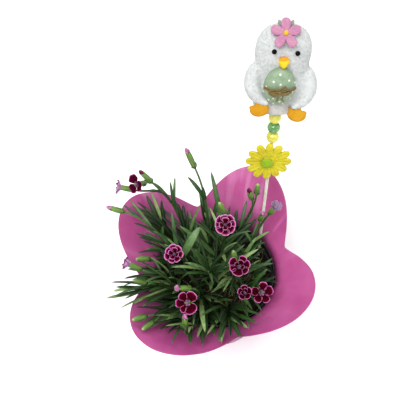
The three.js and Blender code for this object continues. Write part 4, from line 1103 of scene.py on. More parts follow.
def calyxSkin(skin, stem, end):
    face, base = unit(end["face"]), end["route"].point(1)
    tint = draw(stem["index"], int(end["at"][0]) + 90, 44)
    columns, turn = 30, draw(stem["index"], 3, 45) * 6

    def ribbed(radius): return lambda a: radius * (1 + 0.035 * np.cos(15 * a))

    def toothed(height, size):  # five teeth round the mouth
        return lambda a: height + size * (np.abs(((a * 5 / (2 * math.pi)) % 1) - 0.5) * 2) ** 1.3

    profile = [(0.8, -0.6), (1.3, 0.2), (2.1, 1.2), (ribbed(2.45), 3), (ribbed(2.68), 6), (ribbed(2.72), 9),
               (ribbed(2.55), 11.2)]
    if "green" in end:
        profile += [(ribbed(2.2), 12.4), (1.6, 13.6), (0.95, 14.5), (0.4, 15.1), (0.05, 15.4)]
    else:
        profile += [(2.5, toothed(12.0, 0.9)), (2.66, toothed(12.6, 2.3)), (2.4, toothed(12.5, 2.2)),
                    (2.2, toothed(11.6, 0.6)), (2.05, 9.5), (0.1, 9.4)]
    rings = turned(profile, columns)
    frameOf = faceFrame(face, turn)
    height = np.clip(rings[..., 2] / 15, 0, 1)
    rings[..., 2] *= end.get("long", 1)
    skin.tube(base + rings @ frameOf, look=2, across=np.tile(np.arange(columns) / columns, len(profile)),
              along=height, tint=tint)
    for i, angle in enumerate(circle(4) + turn):  # two pairs of scales hug the calyx's foot
        footScale(skin, base, frameOf, angle, 6.2 - (i % 2) * 1.2, tint)


def footScale(skin, base, frameOf, angle, length, tint):
    t = np.linspace(0, 1, 7)
    half = 1.9 * (1 - t) ** 0.55 * (0.6 + 0.4 * np.minimum(1, 4 * t)) + 0.03
    rings = []
    for along, wide in zip(t, half):
        reach = 1.2 + 1.75 * smoothed(along * 2.2) + 0.7 * along ** 3
        spread = np.array([-1, -0.5, 0.5, 1, 0.5, -0.5]) * wide / reach
        out = reach + np.array([0, 0.12, 0.12, 0, -0.12, -0.12])
        rings.append(around(out, angle + spread, along * length))
    skin.tube(base + np.array(rings) @ frameOf, look=2, along=np.repeat(0.2 + 0.5 * t, 6), tint=tint)


def smoothed(t):
    t = np.clip(t, 0, 1)
    return t * t * (3 - 2 * t)


def faceFrame(face, turn):  # rows: the two ways across, and the way that the flower looks
    (u, v), c, s = waysAcross(face), math.cos(turn), math.sin(turn)
    return np.array([u * c + v * s, v * c - u * s, face])


def leafFinish():
    look = Finish("leaf_green")
    uv, across, along = look.onPiece()
    tint, mottle = look.attribute("tint"), look.grain(190, 4, where=look.place)
    green = look.ramp(tint * 0.75 + mottle * 0.3, (0.14, "0a1b06"), (0.4, "173210"),
                      (0.62, "2e5021"), (0.77, "547540"), (0.9, "8fa768"))
    centre = abs(across - 0.5) * 2
    veins = look.grain(1, 2, where=look.stretched(uv, (26, 1.4, 1)))
    green = look.mix(look.step(centre, 0.16, 0.03) * 0.3, green, "64824a")
    green = look.mix(look.step(along, 0.14, 0.0) * 0.5, green, "6f8a4c")
    green = look.mix(look.step(along, 0.93, 1.0) * 0.35, green, "7a7840")
    return look.feed(green, 0.36 + 0.2 * mottle, veins * 0.7 + mottle * 0.3, 0.35, 0.0005,
                     Specular_IOR_Level=0.5)


def stemFinish():
    look = Finish("stem_green")
    mottle, along = look.grain(240, 3), look.onPiece()[2]
    green = look.mix(look.step(along, 0.3, 1.0), "213814", "3f5e2b")
    green = look.mix(look.step(mottle, 0.5, 0.75) * 0.3, green, "5c7a40")
    return look.feed(green, 0.55, mottle, 0.3, 0.0004)


def calyxFinish():
    look = Finish("calyx_green")
    uv, _, along = look.onPiece()
    mottle = look.grain(260, 3)
    ribs = look.grain(1, 1, where=look.stretched(uv, (44, 1.6, 1)))
    green = look.mix(look.step(along, 0.1, 0.95), "426426", "648733")
    green = look.mix(look.attribute("tint") * 0.5, green, "3a5a24")
    green = look.mix(look.step(ribs, 0.52, 0.66) * 0.6, green, "8ca854")
    green = look.mix(look.step(ribs, 0.44, 0.32) * 0.7, green, "27451a")
    green = look.mix(look.step(along, 0.86, 0.97) * 0.5, green, "b3c184")
    return look.feed(green, 0.48 + 0.15 * mottle, ribs + 0.3 * mottle, 0.3, 0.0004)


greenery = (leafFinish(), stemFinish(), calyxFinish())
for stem in stems:
    skin = Skin()
    for leaf in stem["leaves"]:
        leafSkin(skin, leaf, leafRows["main"])
    for end in stem["ends"]:
        stemSkin(skin, stem, end)
        if "face" in end:
            calyxSkin(skin, stem, end)
    seat(skin.piece("leafy_" + stem["name"], *greenery), "leaf", stem["name"])

tufts = Skin()
for leaf in youngLeaves:
    leafSkin(tufts, leaf, leafRows["young"])
seat(tufts.piece("young_leaves", greenery[0]), "leaf")
print("leaves and stems are made")


# the plant: its flowers

# petals: which way each points, the angle that it spans, its reach and its lift; curl: how its sides
# rise; round: how deep the notches between petals are
fivePetals = [(90, 76, 1, 0), (162, 76, 0.96, 0.5), (234, 76, 1, 0.1), (306, 76, 0.97, 0.6), (18, 76, 1, 0.3)]
flowerStyles = {
    "ruffled": dict(curl=0.4, round=0.2, petals=[
        (96, 66, 0.97, 0), (47, 62, 1.05, 0.6), (2, 60, 0.98, 0.1), (318, 60, 1.04, 0.8),
        (271, 60, 1.05, 0.3), (222, 62, 1.06, 0.9), (180, 60, 0.98, 0.2), (137, 60, 1.05, 0.7),
        (84, 84, 0.66, 1.9), (186, 74, 0.6, 2.2), (352, 76, 0.62, 2.0), (268, 70, 0.56, 2.4)]),
    "double": dict(curl=0.6, round=0.22, petals=[
        (96, 60, 1.0, 0), (44, 62, 0.98, 0.8), (352, 58, 1.0, 0.3), (300, 60, 0.96, 1.0),
        (250, 58, 1.0, 0.2), (200, 60, 1.02, 0.7), (148, 58, 0.98, 0.4),
        (70, 78, 0.64, 1.9), (160, 76, 0.58, 2.3), (250, 78, 0.62, 2.0), (340, 72, 0.56, 2.5)]),
    "cupped": dict(curl=0.9, round=0.24, petals=[
        (146, 66, 1.04, 0.2), (58, 62, 0.98, 0.9), (8, 60, 1.02, 0.2), (318, 62, 0.96, 0.7),
        (250, 92, 1.0, 1.1), (196, 60, 0.95, 0.1),
        (60, 84, 0.55, 2.2), (150, 70, 0.45, 2.5), (330, 74, 0.5, 2.6)]),
    "open": dict(curl=0.25, round=0.3, petals=[
        (176, 62, 1.0, 0.3), (118, 66, 0.95, 0.8), (48, 84, 1.02, 0.2), (300, 104, 1.02, 1.3),
        (232, 50, 0.9, 0)]),
    "rosette": dict(curl=0.2, round=0.36, petals=[
        (84, 76, 0.96, 0.9), (172, 70, 0.98, 0.6), (238, 66, 0.95, 0.9), (306, 64, 0.95, 0.5),
        (20, 78, 1.02, 0)]),
    "opening": dict(curl=1.3, round=0.25, petals=fivePetals + [(50, 90, 0.55, 2.6), (200, 90, 0.5, 2.8)]),
    "dark": dict(curl=0.2, round=0.3, petals=[
        (84, 108, 1.3, 0.2), (206, 120, 1.12, 0.6), (322, 116, 1.12, 0)]),
    "pale": dict(curl=1.0, round=0.2, petals=[
        (points, 76, 1.22, 0.4 * lift) for points, _, _, lift in fivePetals]),
    "grey": dict(curl=0.6, round=0.25, petals=fivePetals),
}
petalGrid = {"rows": 15, "columns": 15, "thickness": 0.22}


def petalSkin(skin, turn, reach, span, lift, style, seed):
    rows, columns = petalGrid["rows"], petalGrid["columns"]
    u, x = np.meshgrid(np.linspace(0, 1, rows), np.linspace(-1, 1, columns), indexing="ij")
    teeth = 0.028 * np.abs(((x * 3.5 + draw(seed, 1, 51)) % 1) - 0.5) * 2
    outline = reach * (0.96 - style["round"] * np.abs(x) ** 2.8 - 0.02 * np.cos(math.pi * x) + teeth
                       + 0.04 * (draw(seed, 2, 52) - 0.5))
    wide = span / 2 * degree * (0.8 + 0.2 * smoothed(u * 2.2)) * (1 - 0.08 * u ** 6)
    curl = style["curl"]
    r = 0.5 + (outline - 0.5) * u ** 1.05
    rise = np.interp(u, [0, 0.1, 0.24, 0.6, 1], [-3, -0.6, 1.1, 1.9 + 0.35 * lift, 2.2 + lift])
    phase = 6 * draw(seed, 3, 53)
    ruffle = (0.5 * np.sin(2.3 * math.pi * x + phase) + 0.22 * np.sin(5 * math.pi * x + 2 * phase)) * u ** 2.5
    z = rise + ruffle + 0.4 * x * u + curl * (np.abs(x) ** 2) * u * 0.9 - 0.25 * curl * u ** 4 * (1 - x * x)
    angle = turn + x * wide
    top = around(r, angle, z)
    points, upper, lower = sheetGrid(top, top - (0, 0, petalGrid["thickness"]))
    flat = np.stack([(x + 1) / 2, u], -1)
    growth = np.concatenate([flat.reshape(-1, 2), flat[1:-1, 1:-1].reshape(-1, 2)])
    skin.add(points, upper + lower, look=[0] * len(upper) + [1] * len(lower),
             across=growth[:, 0], along=growth[:, 1], tint=draw(seed, 4, 54))


def threadSkin(skin, start, end, bow, radius, tip=1.0):  # a style or a stamen
    t = np.linspace(0, 1, 7)[:, None]
    way = end - start
    aside = unit(np.cross(way, (0.3, 0.2, 1)))
    line = start + way * t + aside * bow * np.sin(math.pi * t)
    sizes = radius * (1 - 0.4 * t[:, 0])
    sizes[-2:] *= tip
    skin.tube([ringAbout(p, unit(way), size, 5) for p, size in zip(line, sizes)], look=2)


def flowerSkin(end, seed):
    style, skin = flowerStyles[end["style"]], Skin()
    for i, (points, span, reach, lift) in enumerate(style["petals"]):
        petalSkin(skin, (points - 6) * degree, end["open"] * reach, span, end["lift"] + lift, style,
                  seed * 40 + i)
    for i in range(2):  # two curling styles
        far = around(1.4, i * 2.4 + seed, 4.2 - i)
        threadSkin(skin, np.array([0.1 * i, 0, 0.5]), far, 0.7, 0.13)
    for i in range(5):  # and a few stamens
        far = around(1.1, i * 1.26 + seed, 2.6 + 0.7 * draw(seed, i, 66))
        threadSkin(skin, far * (0.3, 0.3, 0.1), far, 0.2, 0.1, tip=2.0)
    frameOf = faceFrame(unit(end["face"]), 0)
    mouth = np.array(end["at"], float)
    skin.points = [mouth + points @ frameOf for points in skin.points]
    return skin


budProfile = [  # height and radius
    (-3.2, 1.1), (-0.4, 1.2), (0.6, 1.9), (1.6, 2.2), (2.6, 2.15), (3.6, 1.8), (4.4, 1.35), (4.9, 0.8),
    (5.15, 0.15)]


def budTipSkin(end, seed):  # petals rolled round each other
    skin = Skin()
    angles, frameOf = circle(24), faceFrame(unit(end["face"]), draw(seed, 2, 72) * 6)
    rings, across, along = [], [], []
    for z, radius in budProfile:
        fold = ((angles * 3 / (2 * math.pi) + z * 0.11 + 0.3 * draw(seed, 1, 71)) % 1)
        r = radius * (0.9 + 0.17 * fold) * (end.get("full", 1) if z > 1 else 1)
        rings.append(around(r, angles, z + 0.35 * fold * (z > 1)))
        across.append(fold)
        along.append(np.full(24, (z + 3.2) / 8.4))
    skin.tube(np.array(end["at"], float) + np.array(rings) @ frameOf,
              across=np.array(across), along=np.array(along), tint=draw(seed, 3, 73))
    return skin


def petalFinish(name, blotch, ring, rim, throat, reach):
    look = Finish(name)
    uv, across, along = look.onPiece()
    centre = abs(across - 0.5) * 2
    uneven = look.grain(1, 3, where=look.stretched(uv, (9, 6, 1)))
    streaks = look.grain(1, 2, where=look.stretched(uv, (34, 2.2, 1)))
    fromSide = (1 - centre) * (0.45 + 0.7 * along) + look.step(along, 0.55, 0.2) * 0.3
    edge = look.maths("MINIMUM", 1 - along, fromSide) + (uneven - 0.5) * 0.07
    colour = look.ramp(edge, (0.0, rim), (0.03 * reach, rim), (0.085 * reach, ring[0]),
                       (0.17 * reach, ring[1]), (0.25 * reach, blotch[0]), (0.7, blotch[1]))
    streaky = look.step(along, 0.32, 0.12) * (0.3 + 0.8 * look.step(streaks, 0.4, 0.62))
    colour = look.mix(look.maths("MINIMUM", streaky, 1.0), colour, throat)
    velvet = look.grain(2600, 2)
    return look.feed(colour, 0.75, streaks * 0.7 + velvet * 0.25, 0.3, 0.0004, Specular_IOR_Level=0.02)


def petalBackFinish(name, light, dark):
    look = Finish(name)
    uv, _, along = look.onPiece()
    streaks = look.grain(1, 2, where=look.stretched(uv, (26, 1.6, 1)))
    colour = look.mix(look.step(streaks, 0.3, 0.7), light, dark)
    colour = look.mix(look.step(along, 0.3, 0.08), colour, "b9c68f")
    return look.feed(colour, 0.7, streaks, 0.25, 0.0004, Specular_IOR_Level=0.1)


def budFinish(name, light, dark):
    look = Finish(name)
    across, along = look.onPiece()[1:]
    colour = look.mix(look.step(across, 0.55, 0.98), dark, light)
    colour = look.mix(look.step(along, 0.5, 0.3) * 0.6, colour, "b7cb86")
    return look.feed(colour, 0.65, look.grain(700, 3), 0.2, 0.0004, Specular_IOR_Level=0.15)


backLooks = {
    "lilac": petalBackFinish("petal_back", "cda6cc", "a56a9c"),
    "grey": petalBackFinish("grey_petal_back", "b09fb0", "93798f"),
    "dark": petalBackFinish("dark_petal_back", "96507d", "6b1f4c"),
}
petalLooks = {  # a petal's front: blotch, ring, rim, throat and how far they reach; and its back
    style: (petalFinish(name, *colours), backLooks[back]) for style, back, name, *colours in (
        ("", "lilac", "burgundy_petal", ("3c000d", "220006"), ("ac2a7e", "6e0a42"), "d29ec4", "b07aa4", 0.62),
        ("ruffled", "lilac", "ruffled_petal", ("3e000e", "260007"), ("a8407f", "741848"),
         "cfa4c8", "8c4f7a", 0.93),
        ("double", "lilac", "pale_edged_petal", ("3e000d", "240006"), ("ac3682", "780f4a"),
         "cfa0c8", "9a5484", 0.95),
        ("dark", "dark", "dark_petal", ("3c031a", "300114"), ("701044", "50062c"), "a05584", "7d4a70", 0.7),
        ("pale", "lilac", "lilac_petal", ("b487b6", "a878ab"), ("6f1f52", "9a5a90"), "5d1240", "c9a9c9", 1.3),
        ("grey", "grey", "grey_petal", ("8c7390", "786079"), ("8d7090", "866a88"), "a893aa", "b3a5b3", 1.0),
    )
}
budLooks = {"light": budFinish("pink_bud", "c799b9", "9d5a86"),
            "deep": budFinish("dark_bud", "8c2c62", "4c0c2e")}
thread = plainFinish("stamen", "d9b7d2", "a98fb5", 400, 0.6)
allEnds = [end for stem in stems for end in stem["ends"]]
flowerEnds, budEnds = ([end for end in allEnds if key in end] for key in ("open", "tip"))
for number, end in enumerate(flowerEnds, 1):
    front, back = petalLooks.get(end["style"], petalLooks[""])
    flower = flowerSkin(end, number).piece(f"flower_{number}", front, back, thread)
    seat(flower, "lilac" if number >= 8 else "petal", f"corolla_{number}")
for number, end in enumerate(budEnds, 1):
    bud = budTipSkin(end, number).piece(f"rolled_petals_{number}", budLooks[end["tip"]])
    seat(bud, "bud_tip", f"bud_tip_{number}")
print("flowers are made")


# the pick: felt, beads, egg and twine

def pillow(outline, centre, layers, groove=0.0):  # rings from the back's middle round to the front's
    outline, centre = np.asarray(outline, float), np.asarray(centre, float)
    rings = []
    for part, depth in layers:
        flat = centre + (outline - centre) * max(part, 0.01)
        dip = groove * np.exp(-((flat[:, 0] - centre[0]) / 0.7) ** 2) * (depth > layers[-1][1] * 0.6)
        rings.append(np.stack([flat[:, 0], -(depth - dip), flat[:, 1]], 1))
    return np.array(rings)


feltEdge = [(0, 0), (0.55, 0), (0.93, 0), (0.985, 0.14), (1, 0.42), (0.985, 0.7), (0.93, 0.9), (0.8, 0.985),
            (0.5, 1), (0.25, 1), (0, 1)]


def feltLayers(thickness):
    return [(part, thickness * depth) for part, depth in feltEdge]


def ovalOutline(width, height, count):
    return around(0.5, circle(count), 0)[:, :2] * (width, height)


def rotated(points, tiltX=0.0, turnY=0.0):
    for axis, angle in (((1, 0, 0), tiltX), ((0, 1, 0), turnY)):
        if angle:
            points = np.asarray(points) @ np.array(Quaternion(axis, angle * degree).to_matrix()).T
    return np.asarray(points)


def feltFinish(name, light, dark, fibre=1500, glitterGlints=0.0):
    look = Finish(name)
    fibres = look.grain(fibre, 4, 0.7, where=look.stretched(look.place, (1, 1.6, 0.8)))
    clouds = look.grain(130, 3)
    colour = look.mix(look.step(fibres * 0.6 + clouds * 0.4, 0.35, 0.65), dark, light)
    if glitterGlints:
        # pale specks: the felt's glitter, with its glints painted into the colour
        colour = look.mix(look.step(look.grain(1100, 1), 0.62, 0.7) * glitterGlints, colour, "f1e3e6")
    return look.feed(colour, 0.95, fibres + 0.5 * clouds, 0.55, 0.0007, Sheen_Weight=0.05,
                     Sheen_Roughness=0.5, Specular_IOR_Level=0.1)


daisy = {
    "centre": (-1.8, 108.9), "radius": 21.1, "petals": 12, "petalHalf": 3.6, "thickness": 3, "inset": 4.6,
    "hub": 5.7, "hubAside": -1.5,
}


def daisySkin():
    skin, t = Skin(), circle(28)
    x, z = daisy["centre"]
    back = -pick["stickRadius"] - pick["gap"]
    for i in range(daisy["petals"]):
        reach = daisy["radius"] * (0.97 + 0.05 * draw(i, 1, 81))
        middle, long = (reach + daisy["inset"]) / 2, (reach - daisy["inset"]) / 2
        wide = 0.93 * (daisy["petalHalf"] + 0.4 * draw(i, 2, 82)) * (1 + 0.3 * np.sin(t))
        outline = np.stack([wide * np.cos(t) * np.abs(np.cos(t)) ** -0.12, long * np.sin(t) + middle], 1)
        rings = pillow(outline, (0, middle), feltLayers(daisy["thickness"] * 0.86), 0.55)
        rings = rotated(rings, 0, i * 360 / daisy["petals"])
        rings[..., 1] += 0.25 * (i % 2) - 0.1
        skin.tube(rings + (x, back - 0.1, z), tint=draw(i, 3, 83))
    core = pillow(ovalOutline(10, 10, 24), (0, 0),
                  [(0, 0.3), (1, 0.3), (1.25, 1.2), (1.2, 2.2), (0.8, 2.5), (0, 2.5)])
    skin.tube(core + (x, back, z))
    return skin


def hubSkin():
    back = -pick["stickRadius"] - daisy["thickness"] - 2 * pick["gap"]
    angles = circle(32)
    outline = np.stack([daisy["hub"] * np.cos(angles) * (1 + 0.03 * np.cos(3 * angles)),
                        daisy["hub"] * np.sin(angles)], 1)
    rings = pillow(outline, (0, 0), [(0, 0), (0.9, 0), (1, 0.5), (0.97, 1.3), (0.85, 1.95), (0.62, 2.4),
                                     (0.35, 2.6), (0.12, 2.6), (0, 2.6)])
    return tubeSkin(rings + (daisy["centre"][0] + daisy["hubAside"], back, daisy["centre"][1]))


bead = {"radius": 5.8, "height": 10.2, "first": 134.9, "step": 10.5, "columns": 36}


def beadSkin(number):
    half, columns = bead["height"] / 2, bead["columns"]
    profile = [(bead["radius"] * math.sqrt(max(0.0, 1 - (0.93 * s) ** 2)) + 0.02, half * s)
               for s in np.linspace(-1, 1, 19)] + [(pick["bore"], half), (pick["bore"], -half)]
    rings = turned(profile, columns) + (0, 0, bead["first"] + number * bead["step"])
    faces = ringFaces(len(rings), columns)[:-2]
    last = (len(rings) - 1) * columns
    faces += [(last + j, last + (j + 1) % columns, (j + 1) % columns, j) for j in range(columns)]
    skin = Skin()
    skin.add(rings, faces)
    return skin


def beadFinish(name, light, dark, speck):
    look = Finish(name)
    clouds, specks = look.grain(260, 4), look.grain(1300, 2)
    colour = look.mix(look.step(clouds, 0.35, 0.65), dark, light)
    colour = look.mix(look.step(specks, 0.58, 0.66) * 0.6, colour, speck)
    return look.feed(colour, 0.18 + 0.12 * clouds, clouds, 0.12, 0.0004, Coat_Weight=0.5, Coat_Roughness=0.08)


def stickSkin():
    length = pick["stickTop"] - pick["stickBottom"]
    steps = np.linspace(2, length - 0.3, 40)
    profile = [(0.15, -2.9), (pick["stickRadius"] * 0.98, 1.6)]
    profile += [(pick["stickRadius"] * (0.985 + 0.015 * math.sin(h * 0.7)), h) for h in steps]
    profile += [(pick["stickRadius"] * 0.85, length - 0.08), (0.2, length)]
    return tubeSkin(turned(profile, 20) + (0, 0, pick["stickBottom"]))


def stickFinish():
    look = Finish("white_wood")
    fibres = look.grain(700, 3, where=look.stretched(look.place, (1, 1, 0.08)))
    colour = look.mix(look.step(fibres, 0.35, 0.7), "dcd9d0", "c2baa8")
    return look.feed(colour, 0.62, fibres, 0.3, 0.0004)


def seatOnPick(skin, name, finish, slot, node):
    seat(skin.piece(name, finish, turn=onPick), slot, node)


yellowFelt = feltFinish("yellow_felt", "cfc72c", "b3a218", glitterGlints=0.16)
limeFelt = feltFinish("lime_felt", "98b42a", "7a9b1c")
seatOnPick(daisySkin(), "felt_daisy", yellowFelt, "yellow_felt", "daisy_petals")
seatOnPick(hubSkin(), "felt_daisy_centre", limeFelt, "lime_felt", "daisy_centre")
for number, (name, slot, look) in enumerate((
        ("lower", "yellow_bead", beadFinish("yellow_bead", "d6d352", "bfb634", "ecea9c")),
        ("middle", "green_bead", beadFinish("green_bead", "6ca156", "3d7c3a", "b4d3a4")),
        # the upper bead's lighter colours are painted light against the bird's shadow
        ("upper", "yellow_bead", beadFinish("upper_yellow_bead", "ebe86a", "dad24a", "f6f4b0")))):
    seatOnPick(beadSkin(number), f"round_bead_{name}", look, slot, f"bead_{name}")
seatOnPick(stickSkin(), "wooden_stick", stickFinish(), "stick", "stick")
print("daisy, beads and stick are made")


# the bird

bird = {
    "outline": ((12, 162.8), (20, 168), (23.2, 179), (23.6, 192), (22.4, 204),
                (23, 214), (23.2, 223), (21, 232.5), (15.5, 239.5), (8, 242.8)),
    "depth": 0.68,
    "wing": ((17, -2, 211, 3), (21.5, -4, 203, 7), (22.8, -8, 191.5, 8.2), (18, -13, 183.5, 6.6),
             (10.5, -18, 180.5, 3)),
    "wingDrop": 1.6, "eggCentre": (-2.3, -16, 198), "eggRadii": (12.8, 8.5, 16.8),
    "eye": (9.1, -14.5, 226.9, 2.0), "beak": (-1.2, -17.2, 219.8), "beakSize": (8.6, 5, 9.8),
    "foot": (15.5, -16.2, 173.0), "footSize": (16, 12, 5), "flower": (-1.5, -10.5, 240.5),
    "flowerRadius": 12.0, "flowerThickness": 2.4, "flowerTilt": 42, "voxel": 0.75, "nap": 0.0012,
}
fleece = {"Density": 2200000.0, "Smallest": 0.00045, "Largest": 0.0008, "Seed": 4}
fleeceTilt = 0.55


def spline(points, steps):  # a smooth line through points of any width
    points = np.asarray(points, float)
    padded = np.vstack([2 * points[0] - points[1], points, 2 * points[-1] - points[-2]])
    line = []
    for i in range(1, len(padded) - 2):
        a, b, c, d = padded[i - 1:i + 3]
        for t in np.arange(steps) / steps:
            line.append(0.5 * (2 * b + (c - a) * t + (2 * a - 5 * b + 4 * c - d) * t * t
                               + (3 * b - a - 3 * c + d) * t ** 3))
    return np.array(line + [points[-1]])


def plushFinish():
    look = Finish("white_fleece")
    curls, clouds = look.grain(420, 4, 0.65), look.grain(60, 2)
    z = look.parts(look.place)[2]
    colour = look.mix(look.step(curls, 0.28, 0.6), "bfc2c1", "cccfce")
    colour = look.mix(look.step(clouds, 0.62, 0.8) * 0.25, colour, "c0bcbc")
    # paler fleece below the belly, brightened further with painted light on the shaded underside
    belly = onPick((0, 0, 184))[2] * millimetre
    colour = look.mix(look.step(z, belly, belly - 0.012) * 0.5, colour, "e1dad1")
    return look.feed(colour, 1.0, curls, 0.8, 0.0012, Sheen_Weight=0.1, Sheen_Roughness=0.6,
                     Specular_IOR_Level=0.05)


def fleeceBody():
    profile = [(0.3, 162.1), (6, 162.2), *spline(bird["outline"], 4), (3.5, 243.4), (0.3, 243.5)]
    forms = [turned(profile, 96) * (1, bird["depth"], 1)]
    for side in (-1, 1):
        path = [(side * x, y, z - side * bird["wingDrop"], r) for x, y, z, r in bird["wing"]]
        line = spline(path, 6)
        at, way, sizes = line[:, :3], unitRows(np.gradient(line[:, :3], axis=0)), line[:, 3]
        at = [at[0] - way[0] * 2.2, *at, at[-1] + way[-1] * 1.6, at[-1] + way[-1] * 2.3]  # with rounded ends
        ends = zip(at, [way[0], *way, way[-1], way[-1]], [0.3, *sizes, 1.8, 0.2])
        forms.append([ringAbout(*end, 16) for end in ends])
    rough = tubeSkin(*forms).piece("fleece_form", turn=onPick)
    melt = rough.modifiers.new("melt", "REMESH")
    melt.mode, melt.voxel_size = "VOXEL", bird["voxel"] * millimetre
    soften = rough.modifiers.new("soften", "SMOOTH")
    soften.factor, soften.iterations = 0.5, 14
    made = pieceFrom(rough, "fleece_bird", plushFinish())
    mesh = made.data
    at, normals = np.zeros((2, len(mesh.vertices), 3))
    mesh.vertices.foreach_get("co", at.ravel())
    mesh.vertices.foreach_get("normal", normals.ravel())
    curl = np.array([noise.fractal(Vector(p) * 260, 1, 2, 3) for p in at])
    mesh.vertices.foreach_set("co", (at + normals * (curl * 0.00025 - bird["nap"])[:, None]).ravel())
    mesh.update()
    return made


def tuft(graph):  # a short three-sided strand of fibre
    return graph.node("GeometryNodeMeshCone",
                      {"Vertices": 3, "Radius Bottom": 0.24, "Radius Top": 0.02, "Depth": 1.7},
                      fill_type="NONE")


def bareFace(graph, x, y, z):  # no fibres over the eyes and the beak
    grown, (x1, y1, z1) = 1, bird["eye"][:3]
    for place, clear in (((x1, y1, z1), 3.2), ((-x1, y1, z1), 3.2), (bird["beak"], 4)):
        p = onPick(place) * millimetre
        away = ((x - p[0]) ** 2 + (y - p[1]) ** 2 + (z - p[2]) ** 2) ** 0.5
        grown = grown * graph.step(away, clear * millimetre, (clear + 0.8) * millimetre)
    return grown


def footSkin(side):
    (x, y, z), (width, height, depth) = bird["foot"], bird["footSize"]
    angles = circle(72)
    across, rise = np.cos(angles), np.sin(angles)
    toes = 1 + 0.2 * np.cos(angles * 6 - math.pi) * rise.clip(0) ** 0.6  # three toes point up
    roundness = np.where(side * across < 0, 0.8, 1.1)  # the heel is rounder than the outer toe
    outline = np.stack([width / 2 * across * toes,
                        height / 2 * toes * np.sign(rise) * np.abs(rise) ** roundness], 1)
    layers = [(0, 0), (0.6, 0), (0.9, 0), (0.98, depth * 0.2), (1, depth * 0.45), (0.97, depth * 0.7),
              (0.88, depth * 0.88), (0.7, depth * 0.97), (0.4, depth), (0, depth)]
    rings = rotated(pillow(outline, (0, -0.8), layers), -36, side * 12)
    return tubeSkin(rings + (side * x - 1, y, z - side * 2.4))


def beakSkin():
    wide, deep, tall = bird["beakSize"]
    angles = circle(32)
    across, rise = np.cos(angles), np.sin(angles)
    above, below = 0.36 * rise.clip(0) ** 0.75, 0.64 * (-rise).clip(0) ** 1.4
    diamond = np.stack([wide / 2 * np.sign(across) * np.abs(across) ** 1.15,
                        tall * (above - below) + 1.2], 1)
    layers = [(0, -3), (0.8, -3), (0.92, -1.2), (1, 0), (0.98, 0.7), (0.82, 2.0), (0.55, 3.6), (0.28, 4.7),
              (0, deep)]
    return tubeSkin(pillow(diamond, (0, -0.4), layers) + bird["beak"])


def beakFinish():
    look = Finish("beak_felt")
    _, y, z = look.parts(look.place)
    middle, fibres = onPick(bird["beak"]), look.grain(1500, 4, 0.7)
    level = middle[2] + 0.35 * middle[1]
    above = look.step(z + 0.35 * y + 0.0006 * fibres, (level + 2.4) * millimetre, (level + 3.3) * millimetre)
    colour = look.mix(above, "e8c02a", "dc9228")
    return look.feed(colour, 0.9, fibres, 0.5, 0.0006, Specular_IOR_Level=0.15)


def eyeSkin(side):
    x, y, z, radius = bird["eye"]
    heights = np.linspace(-1, 1, 17)
    profile = [(radius * math.sqrt(max(0.0001, 1 - h * h)), radius * h) for h in heights]
    rings = rotated(turned(profile, 24), 90) * (1, 0.92, 1)
    return tubeSkin(rings + (side * x, y, z - side * 0.6))


def eggSkin():
    heights = np.sin(np.linspace(-math.pi / 2, math.pi / 2, 33))
    profile = [(math.sqrt(max(0.00005, 1 - h * h)) * (1 - 0.05 * h), h) for h in heights]
    return tubeSkin(turned(profile, 56) * bird["eggRadii"] + bird["eggCentre"])


def eggFinish():
    look = Finish("sage_egg")
    clouds, fine = look.grain(240, 4), look.grain(2200, 2)
    colour = look.mix(look.step(clouds, 0.3, 0.7), "768e70", "8a9e84")
    x, _, z = look.parts(look.place)
    low = onPick(bird["eggCentre"])[2] * millimetre
    frost = look.step(look.grain(900, 2), 0.56, 0.66) * look.step(z - 0.3 * x, low - 0.012, low - 0.026)
    colour = look.mix(frost * 0.55, colour, "d3dacb")
    return look.feed(colour, 0.55 + 0.2 * clouds, fine + clouds, 0.25, 0.0004)


# the dots' places on the egg: degrees round from its front, and height as a share of the radius
eggDots = [
    (-8, 0.8), (-32, 0.46), (-2, 0.36), (36, 0.52), (-24, -0.42), (3, -0.6), (8, -0.34), (52, -0.12),
    (-60, 0.12), (60, -0.55), (-52, -0.62), (-30, -0.8), (28, -0.82), (72, 0.3), (-80, -0.25), (88, -0.2),
    (110, 0.5), (-110, 0.45), (130, 0), (-130, 0.05), (155, 0.6), (-155, -0.5), (175, -0.1), (120, -0.6)]
dotSizes = {"Radius": 0.9, "Rise": 0.3}


def eggDotsPiece(material):
    turns, shares = np.array(eggDots).T
    levels = np.sqrt(1 - shares * shares) * (1 - 0.05 * shares)
    spots = around(levels, (turns - 90) * degree, shares) * bird["eggRadii"]
    normals = unitRows(spots / np.square(bird["eggRadii"]))
    skin = Skin()
    skin.add(spots + bird["eggCentre"], [])
    cloud = skin.piece("dot_places", turn=onPick)
    outwards = cloud.data.attributes.new("outwards", "FLOAT_VECTOR", "POINT")
    outwards.data.foreach_set("vector", (onPick(normals) - pick["foot"]).ravel())
    graph, wires, sockets = grownTree("dots", dotSizes)
    spots = graph.node("GeometryNodeMeshToPoints", {0: wires["Geometry"]})
    outwards = graph.node("GeometryNodeInputNamedAttribute", {0: "outwards"}, data_type="FLOAT_VECTOR")
    turn = graph.node("FunctionNodeAlignRotationToVector", {"Vector": outwards}, axis="Z")
    ball = graph.node("GeometryNodeMeshUVSphere", {"Segments": 18, "Rings": 10, "Radius": 1.0})
    wide, high = wires["Radius"] * millimetre, wires["Rise"] * millimetre
    size = graph.node("ShaderNodeCombineXYZ", {0: wide, 1: wide, 2: high})
    copies = graph.node("GeometryNodeInstanceOnPoints",
                        {"Points": spots, "Instance": ball, "Rotation": turn, "Scale": size})
    made = runTree(graph, sockets, dotSizes, copies, cloud, "egg_dots", material)
    bpy.data.objects.remove(cloud)
    return made


